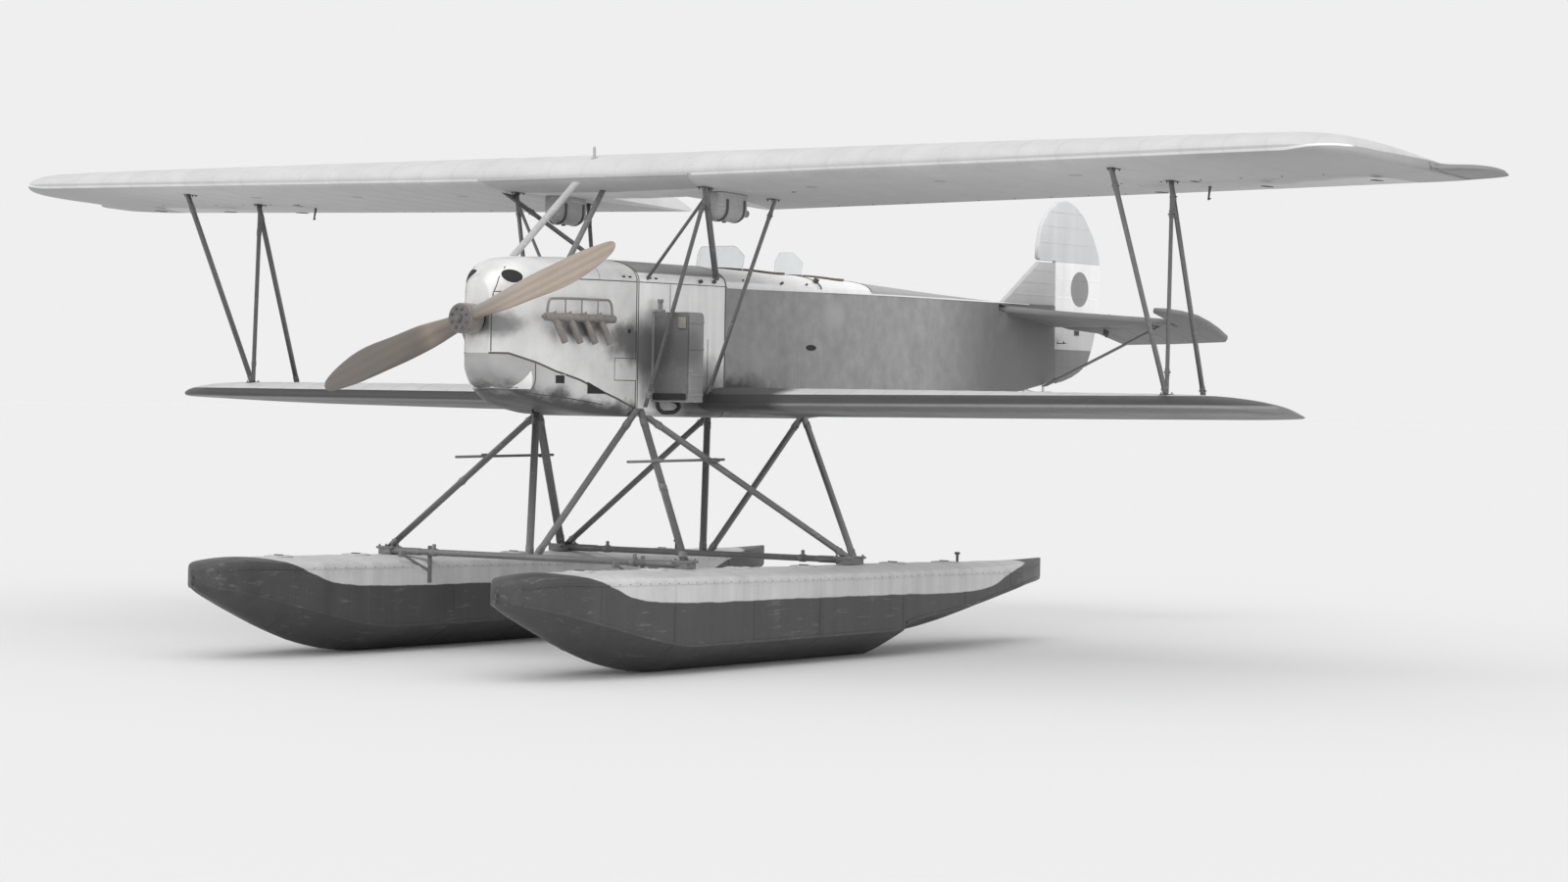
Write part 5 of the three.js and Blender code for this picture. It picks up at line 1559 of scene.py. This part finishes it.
radiator = {
    "low": (0.511, 1.69, -0.62), "high": (0.89, 1.88, 0.10), "border": 0.022, "depth": 0.014,
    "strips": (0.02, -0.19, -0.40, -0.56), "filler": (0.56, 1.735), "stays": (-0.05, -0.5),
    "hose": [(0.55, 1.725, -0.615), (0.552, 1.735, -0.66), (0.585, 1.775, -0.705), (0.63, 1.835, -0.70),
             (0.64, 1.895, -0.665), (0.60, 1.92, -0.62), (0.50, 1.92, -0.60)],
}
for name, side in sides.items():
    low, high = Vector(radiator["low"]), Vector(radiator["high"])
    size, centre = high - low, (high + low) / 2
    case = bmesh.new()
    ops.create_cube(case, size=1.0)
    ops.scale(case, verts=case.verts, vec=size)
    ops.translate(case, verts=case.verts, vec=centre)
    softEdges(case, [e for e in case.edges if all(v.co.z > 0 and v.co.x > 0.8 for v in e.verts)], 0.034, 3)
    ends = [f for f in case.faces if abs(f.normal.y) > 0.9]
    ops.inset_individual(case, faces=ends, thickness=radiator["border"], depth=-radiator["depth"])
    softEdges(case, [e for e in case.edges if e.calc_face_angle(0) > 0.6], 0.0025)
    for z in radiator["strips"]:  # stiffening strips and rivets on the outer side
        addBlock(case, (0.006, 0.186, 0.022), (high.x + 0.002, centre.y, z), 0.002)
        for dy in (-0.075, 0, 0.075):
            headOn(case, (high.x + 0.005, centre.y + dy, z), (1, 0, 0), 0.005)
    x, y = radiator["filler"]
    addPipe(case, [(x, y, 0.095), (x, y, 0.192)], 0.018, 20)
    addDisc(case, (x, y, 0.110), (0, 0, 1), 0.040, 0.02, 28, 0.004)
    addDisc(case, (x, y, 0.186), (0, 0, 1), 0.025, 0.018, 8, 0.003)
    addBlock(case, (0.056, 0.01, 0.012), (x, y, 0.198), 0.002)
    for z in radiator["stays"]:
        addBlock(case, (0.05, 0.05, 0.03), (0.515, 1.905, z), 0.004)
        boltOn(case, (0.53, 1.925, z), (0, 1, 0), 0.008)
    core = roundedBlock(size - Vector((0.044, 0.016, 0.044)), centre, 0.002)
    bar = (size.x - 0.05, size.y + 0.006, 0.05), (centre.x - 0.01, centre.y, low.z + 0.045)
    for part, shape, look in (
            ("case", case, "radiatorCase"), ("core", core, "radiatorCore"),
            ("shutter_bar", roundedBlock(*bar, 0.006), "sootBlack"),
            ("hose", pipeAlong(roundedPath(radiator["hose"]), 0.017, 14), "blackRubber"),
            ("patch", roundedBlock((0.075, 0.004, 0.09), (0.815, low.y - 0.002, 0.015), 0.0015), "hotIron")):
        stands = ["radiator_" + name] if part == "case" else ()
        finishPiece(sided(shape, side), "radiator_" + name + "_" + part, look, stands, 30)
print("exhausts and radiators made")


# the rest of the solids, with their own shapes

for node, look in (
        ("fin", "finCloth"), ("rudder", "rudderPaint"), ("tailplane", "tailCloth"), ("elevator_port", "tailCloth"),
        ("elevator_starboard", "tailCloth"), ("header_pipe_front", "lightPaint"),
        ("header_pipe_rear", "strutPaint"), ("wing_tank_port", "lightPaint"),
        ("wing_tank_starboard", "lightPaint"), ("engine_block", "darkIron")):
    skinOf(node, look)
for node in sorted(nodes):
    if "strut" in node or "spreader" in node:
        skinOf(node, "strutPaint", 40)
print("struts and tail made")


# fittings on the struts and floats

def strutFrame(low, high):
    # directions along, fore and out of a streamlined strut
    along = (high - low).normalized()
    fore = (Vector((0, 1, 0)) - along * along.y).normalized()
    return along, fore, along.cross(fore)


def collarOn(bm, low, high, share, length, chord, thick):
    # sleeve round a streamlined strut, its edges slightly rounded
    along, fore, across = strutFrame(low, high)
    rings = []
    for t, grow in ((-0.5, 0.0), (-0.47, 0.003), (0.47, 0.003), (0.5, 0.0)):
        centre = low.lerp(high, share) + along * length * t
        long, wide = fore * (chord / 2 + grow), across * (thick / 2 + grow)
        rings.append([centre + long * cos(a) + wide * sin(a) for a in turns(28)])
    joinIn(bm, loftRings(rings))


strutLines = [
    # foot, head, chord, thickness, shares of the length where sleeves sit
    ((4.71, 2.59, -0.52), (4.70, 1.75, 1.08), 0.058, 0.030, (0.035, 0.965)),
    ((4.71, 3.18, -0.52), (4.70, 2.64, 1.05), 0.058, 0.030, (0.035, 0.965)),
    ((4.71, 2.592, -0.52), (4.70, 2.638, 1.05), 0.048, 0.025, (0.12, 0.88)),
    ((0.552, 1.567, -0.664), (0.96, 1.765, 1.005), 0.046, 0.026, (0.06, 0.95)),
    ((0.43, 2.68, 0.33), (0.96, 1.79, 1.005), 0.058, 0.030, (0.12, 0.90)),
    ((0.54, 2.4, -0.6), (0.96, 2.712, 1.0), 0.046, 0.026, (0.06, 0.95)),
    ((1.505, 0.85, -1.844), (0.55, 1.535, -0.742), 0.076, 0.042, (0.04, 0.50, 0.955)),
    ((1.505, 3.165, -1.871), (0.52, 3.85, -0.742), 0.076, 0.042, (0.04, 0.955)),
    ((1.505, 3.095, -1.871), (0.555, 1.588, -0.742), 0.076, 0.042, (0.05, 0.945)),
    ((0.03, 0.85, -1.865), (0.49, 1.475, -0.742), 0.076, 0.042, (0.05, 0.945)),
    ((0.03, 3.165, -1.892), (0.49, 3.826, -0.742), 0.076, 0.042, (0.05, 0.945)),
    ((0.09, 8.52, -0.405), (1.27, 8.64, 0.17), 0.046, 0.026, (0.1, 0.93)),
]
for name, side in sides.items():
    sleeves = bmesh.new()
    for low, high, chord, thick, shares in strutLines:
        low, high = (Vector((side * x, y, z)) for x, y, z in (low, high))
        out = strutFrame(low, high)[2]
        for share in shares:
            collarOn(sleeves, low, high, share, 0.06, chord, thick)
            for way in (1, -1):
                boltOn(sleeves, low.lerp(high, share) + out * way * (thick / 2 + 0.001), out * way, 0.007)
    finishPiece(sleeves, "strut_sleeves_" + name, "strutPaint", sharp=40)

gear = {
    # each spreader bar: station, level, shift of the starboard collar, stations of the blocks on the deck
    "bars": [(0.85, -1.865, (1.02, -1.02), (0.81, 0.89)), (3.165, -1.892, (1.0, -1.05), (3.015, 3.205))],
    "sleeves": (1.31, -1.31), "offset": 1.505, "reach": 1.46, "strap": 1.083,
    "strapBolts": (-1.873, -1.973, -2.073), "step": -1.10,
}
gearParts = bmesh.new()
for bar, level, collars, blocks in gear["bars"]:
    low, high = (Vector((x, bar, level)) for x in (-gear["reach"], gear["reach"]))
    for spots, sizes in ((collars, (0.044, 0.092, 0.058)), (gear["sleeves"], (0.3, 0.089, 0.053))):
        for x in spots:
            collarOn(gearParts, low, high, (x + gear["reach"]) / (2 * gear["reach"]), *sizes)
    for x in collars:
        addBlock(gearParts, (0.028, 0.018, 0.05), (x, bar, level + 0.042), 0.004)
    for x in (gear["offset"], -gear["offset"]):
        for y in blocks:
            addBlock(gearParts, (0.17, 0.045, 0.02), (x, y, level + 0.024), 0.004)
            for dx in (-0.065, 0.065):
                boltOn(gearParts, (x + dx, y, level + 0.034), (0, 0, 1), 0.009)
for side in (1, -1):  # strap and brace down the inner side of each float, steps on the front legs
    x = side * gear["strap"]
    addBlock(gearParts, (0.012, 0.045, 0.30), (x, 0.87, -1.963), 0.003)
    addPipe(gearParts, [(x, 0.53, -1.873), (x, 0.857, -2.013)], 0.011, 10)
    addBlock(gearParts, (0.02, 0.06, 0.05), (x, 0.53, -1.873), 0.004)
    for z in gear["strapBolts"]:
        boltOn(gearParts, (x - side * 0.006, 0.87, z), (-side, 0, 0), 0.007)
    for low, high in (strutLines[6][:2], strutLines[8][:2]):
        x, y, z = Vector(low).lerp(Vector(high), (gear["step"] - low[2]) / (high[2] - low[2]))
        plateOn(gearParts, (side * (x + 0.026), y, z + 0.02), (side * 0.76, 0, 0.64), (0.11, 0.035, 0.012))
finishPiece(gearParts, "gear_fittings", "strutPaint", sharp=40)

floatFittings = {
    "hatches": [-0.45, 0.45, 1.55, 2.45, 3.75, 4.55], "hatch": 0.115, "post": 4.76, "step": 3.3,
    "seams": [-0.6, 0.2, 1.2, 2.1, 3.3, 4.3, 5.2], "edge": [-1.28 + 0.11 * k for k in range(67)],
    # keel strips ahead of the step and behind it: stations and widths
    "keels": [((-1.30, -1.1, -0.8, -0.4, 0, 0.3, 0.6, 1.5, 2.4, 3.28), [0.058] * 10),
              ((3.33, 3.8, 4.4, 5.2, 5.7, 6.08), [0.05, 0.05, 0.05, 0.045, 0.035, 0.016])],
    "eye": (-1.397, -2.045), "eyeSize": (0.0168, 0.028),
}
for name, side in sides.items():
    metal, painted, dark = (bmesh.new() for _ in range(3))
    middle = side * floatShape["offset"]

    def onDeck(y, rise):
        half, deck = readCurve(floatShape["rows"], y)[:2]
        return Vector((middle, y, deck + half * 0.03 + rise))

    for y in floatFittings["hatches"]:
        for rise, share in ((0.001, 1), (0.005, 0.82)):
            addDisc(painted, onDeck(y, rise), (0, 0, 1), floatFittings["hatch"] * share, 0.008, 36, 0.002)
        for a in turns(8):
            out = Vector((cos(a), sin(a), 0)) * floatFittings["hatch"] * 0.91
            headOn(metal, onDeck(y, 0.005) + out, (0, 0, 1), 0.005)
        addBlock(metal, (0.09, 0.014, 0.010), onDeck(y, 0.012), 0.003)
    post = floatFittings["post"]
    addPipe(metal, [onDeck(post, 0), onDeck(post, 0.07)], 0.012, 14)
    addDisc(metal, onDeck(post, 0.075), (0, 0, 1), 0.024, 0.022, 20, 0.006)
    for stations, widths in floatFittings["keels"]:
        line = [(middle, y, readCurve(floatShape["rows"], y)[3] + 0.004) for y in stations]
        addBand(dark, flat(line, (0, 0, -1)), 0.05, 0.004, widths=widths)
    for way in (1, -1):
        chine, gunwale = [], []
        for y in floatFittings["edge"]:
            half, deck, edge, _ = readCurve(floatShape["rows"], y)
            if not 3.27 < y < 3.34:
                chine.append(Vector((middle + way * half, y, edge + 0.006)))
            gunwale.append(Vector((middle + way * half, y, deck - min(0.06, half * 0.6) - 0.008)))
        for aft in (False, True):
            line = [p for p in chine if (p.y > floatFittings["step"]) == aft]
            addBand(dark, flat(line, (way, 0, 0)), 0.024, 0.006)
        addBand(painted, flat(gunwale, (way, 0, 0)), 0.022, 0.005)
        for spot in spaced(gunwale, 0.11):
            headOn(metal, spot + Vector((way * 0.005, 0, 0)), (way, 0, 0), 0.0055)
    for y in floatFittings["seams"]:  # butt straps across the planking
        front, back = ([Vector((side * p.x, p.y, p.z)) for p in floatRing(y + dy)[4:]] for dy in (-0.017, 0.017))
        rings = []
        for a, b in zip(front, back):
            out = Vector((a.x - middle, 0, (a.z + 2.2) * 1.2)).normalized()
            rings.append([a - out * 0.004, a + out * 0.0022, b + out * 0.0022, b - out * 0.004])
        joinIn(painted, loftRings(rings))
    (y, z), (deep, tall) = floatFittings["eye"], floatFittings["eyeSize"]
    addPipe(metal, [(middle, y + deep * cos(a), z + tall * sin(a)) for a in turns(20)], 0.005, 8, True)
    for bm, part, look in ((metal, "metal", "darkIron"), (painted, "strips", "floatPaint"),
                           (dark, "keel_strips", "floatPaint")):
        finishPiece(bm, "float_" + name + "_" + part, look, sharp=40)
print("strut and float fittings made")


# tail surfaces: rib tapes, hinges and horns

tail = {
    "level": 0.200, "hinge": 8.75, "tilt": 5.5, "droop": 13.0, "plateHalf": 0.031, "flapHalf": 0.025,
    "finHalf": 0.025, "rudderHalf": 0.022, "stock": 8.845,
    # ribs: place across, leading and trailing end
    "ribs": [(0.2, 7.60), (0.42, 7.80), (0.64, 8.02), (0.86, 8.19), (1.08, 8.36), (1.28, 8.49)],
    "flapRibs": [(0.36, 8.78, 8.96), (0.56, 8.78, 9.42), (0.80, 8.78, 9.40), (1.04, 8.78, 9.385),
                 (1.28, 8.78, 9.355), (1.50, 8.30, 9.32), (1.68, 8.36, 9.22)],
    "finRibs": [(0.48, 8.02), (0.60, 8.21), (0.72, 8.40)],
    "rudderRibs": [(-0.22, 8.86, 9.37), (-0.05, 8.86, 9.52), (0.12, 8.86, 9.59), (0.30, 8.86, 9.635),
                   (0.47, 8.86, 9.66), (0.65, 8.86, 9.67), (0.83, 8.52, 9.66), (1.0, 8.53, 9.59),
                   (1.16, 8.60, 9.46), (1.30, 8.72, 9.30)],
    # hinges: places across, or up the rudder
    "flapHinges": (0.25, 0.85, 1.33), "planeHinges": (0.55, 1.1), "rudderHinges": (-0.30, 0.10, 0.36, 0.70),
}


def tailSpot(x, y, top, turn, half):
    # a place on the flat tail surfaces, turned about the elevator hinge
    a = -radians(turn)
    out = 1 if top else -1
    dy, dz = y - tail["hinge"], half * out
    spot = Vector((x, tail["hinge"] + dy * cos(a) - dz * sin(a), tail["level"] + dy * sin(a) + dz * cos(a)))
    return spot, Vector((0, -sin(a), cos(a))) * out


def tailTape(bm, start, end, turn, half):
    for top in (True, False):
        pairs = [tailSpot(p.x, p.y, top, turn, half) for p in spaced([(*start, 0), (*end, 0)], 0.1)]
        addBand(bm, pairs, 0.022, 0.0016, 0.002)


def hingeOn(bm, x, y, turn, reach, radius):
    spot = tailSpot(x, y, True, turn, 0.0)[0]
    addPipe(bm, [spot - Vector((reach, 0, 0)), spot + Vector((reach, 0, 0))], radius, 14)


planeTapes, finTapes, rudderTapes, rudderMetal, tailMetal = (bmesh.new() for _ in range(5))
for side in (1, -1):
    for x, lead in tail["ribs"]:
        tailTape(planeTapes, (side * x, lead), (side * x, 8.705), tail["tilt"], tail["plateHalf"])
    tailTape(planeTapes, (side * 0.13, 8.10), (side * 1.39, 8.60), tail["tilt"], tail["plateHalf"])
    for z, lead in tail["finRibs"]:
        line = [(side * tail["finHalf"], y, z) for y in (lead, 8.5, 8.78)]
        addBand(finTapes, flat(line, (side, 0, 0)), 0.018, 0.0014)
    line = [(side * tail["finHalf"], 8.785, z) for z in (0.40, 0.6, 0.79)]
    addBand(finTapes, flat(line, (side, 0, 0)), 0.014, 0.002)
    for z, lead, trail in tail["rudderRibs"]:
        line = [(side * tail["rudderHalf"], lead + (trail - lead) * k / 4, z) for k in range(5)]
        addBand(rudderTapes, flat(line, (side, 0, 0)), 0.018, 0.0012)
    # arms of the rudder, and a plate with its bolt
    addBlock(rudderMetal, (0.09, 0.05, 0.008), (side * 0.065, 8.885, 0.02), 0.003)
    boltOn(rudderMetal, (side * 0.09, 8.885, 0.026), (0, 0, 1), 0.006)
    addBlock(rudderMetal, (0.008, 0.09, 0.05), (side * 0.026, 9.241, 0.129), 0.003)
    boltOn(rudderMetal, (side * 0.03, 9.241, 0.129), (side, 0, 0), 0.008)
    for x in tail["planeHinges"]:
        hingeOn(tailMetal, side * x, 8.735, tail["tilt"], 0.02, 0.016)
    # strut fittings under the tailplane
    spot, normal = tailSpot(side * 1.26, 8.60, False, tail["tilt"], tail["plateHalf"])
    plateOn(tailMetal, spot, normal, (0.12, 0.07, 0.005))
    for dy in (-0.04, 0.04):
        boltOn(tailMetal, spot + Vector((0, dy, -0.003)), normal, 0.006)
for z in tail["rudderHinges"]:
    addPipe(rudderMetal, [(0, tail["stock"], z - 0.03), (0, tail["stock"], z + 0.03)], 0.0185, 16)
finishPiece(planeTapes, "tailplane_tapes", "tailCloth")
for name, side in sides.items():
    flap, horn, body = bmesh.new(), bmesh.new(), "elevator_" + name
    for x, lead, trail in tail["flapRibs"]:
        tailTape(flap, (side * x, lead), (side * x, trail), tail["droop"], tail["flapHalf"])
    for top in (True, False):
        spot, normal = tailSpot(side * 0.62, 8.80, top, tail["droop"], tail["flapHalf"])
        plateOn(horn, spot + normal * 0.045, (side, 0, 0), (0.06, 0.10, 0.006), (0, 0.25, 1))
        boltOn(horn, spot + normal * 0.082 + Vector((side * 0.004, 0, 0)), (side, 0, 0), 0.006)
    for x in tail["flapHinges"]:
        hingeOn(horn, side * x, 8.765, tail["droop"], 0.03, 0.017)
    finishPiece(flap, body + "_tapes", "tailCloth", body=body)
    finishPiece(horn, body + "_horn", "darkIron", body=body)
finishPiece(finTapes, "fin_tapes", "finCloth")
finishPiece(rudderTapes, "rudder_tapes", "rudderPaint", body="rudder")
finishPiece(rudderMetal, "rudder_fittings", "darkIron", body="rudder")
finishPiece(tailMetal, "tailplane_fittings", "darkIron")
print("tail fittings made")


# stage, light and camera

stageLook = {"floor": 0.74, "radius": 900.0, "sky": 0.88, "strength": 0.98}
lamps = {
    # where it shines from, strength and the softness of its shadows in degrees
    "key": {"from": (3.0, -9.0, 10.0), "strength": 1.15, "soft": 60},
    "fill": {"from": (9.0, -2.0, 3.0), "strength": 0.35, "soft": 80},
}
floorShape = bmesh.new()
ops.create_circle(floorShape, cap_ends=True, segments=96, radius=stageLook["radius"])
floor = shown("floor", asMesh(floorShape, "floor"))
floorMaterial = newMaterial("paleFloor", 0.9)
plugAll({"Base Color": grey(stageLook["floor"]), "Specular IOR Level": 0.1}, inputsOf(floorMaterial))
floor.data.materials.append(floorMaterial)

world = bpy.data.worlds.new("paleSky")
bpy.context.scene.world = world
world.use_nodes = True
backdrop = world.node_tree.nodes["Background"]
plugAll({"Color": grey(stageLook["sky"]), "Strength": stageLook["strength"]}, backdrop.inputs)

for name, lamp in lamps.items():
    light = bpy.data.lights.new(name, "SUN")
    light.energy = lamp["strength"]
    light.angle = radians(lamp["soft"])
    shown(name, light).rotation_euler = Vector(lamp["from"]).to_track_quat("Z", "Y").to_euler()

photo = {"at": (17.60, -20.79, -0.63), "yaw": 35.06, "pitch": -0.58, "roll": 0.96, "focal": 3590.0, "width": 1600}
yaw, pitch, roll = (radians(photo[key]) for key in ("yaw", "pitch", "roll"))
ahead = Vector((-sin(yaw) * cos(pitch), cos(yaw) * cos(pitch), sin(pitch)))
level = Vector((cos(yaw), sin(yaw), 0))
rise = level.cross(ahead)
right = level * cos(roll) + rise * sin(roll)
up = rise * cos(roll) - level * sin(roll)
lens = bpy.data.cameras.new("photoCamera")
lens.sensor_width = 36.0
lens.lens = photo["focal"] / photo["width"] * lens.sensor_width
lens.clip_end = 2000.0
camera = shown("photoCamera", lens)
turn = Matrix((right, up, -ahead)).transposed().to_4x4()
camera.matrix_world = Matrix.Translation(hub + Vector(photo["at"])) @ turn
bpy.context.scene.camera = camera
bpy.context.scene.view_settings.view_transform = "Standard"
print("stage and camera made")
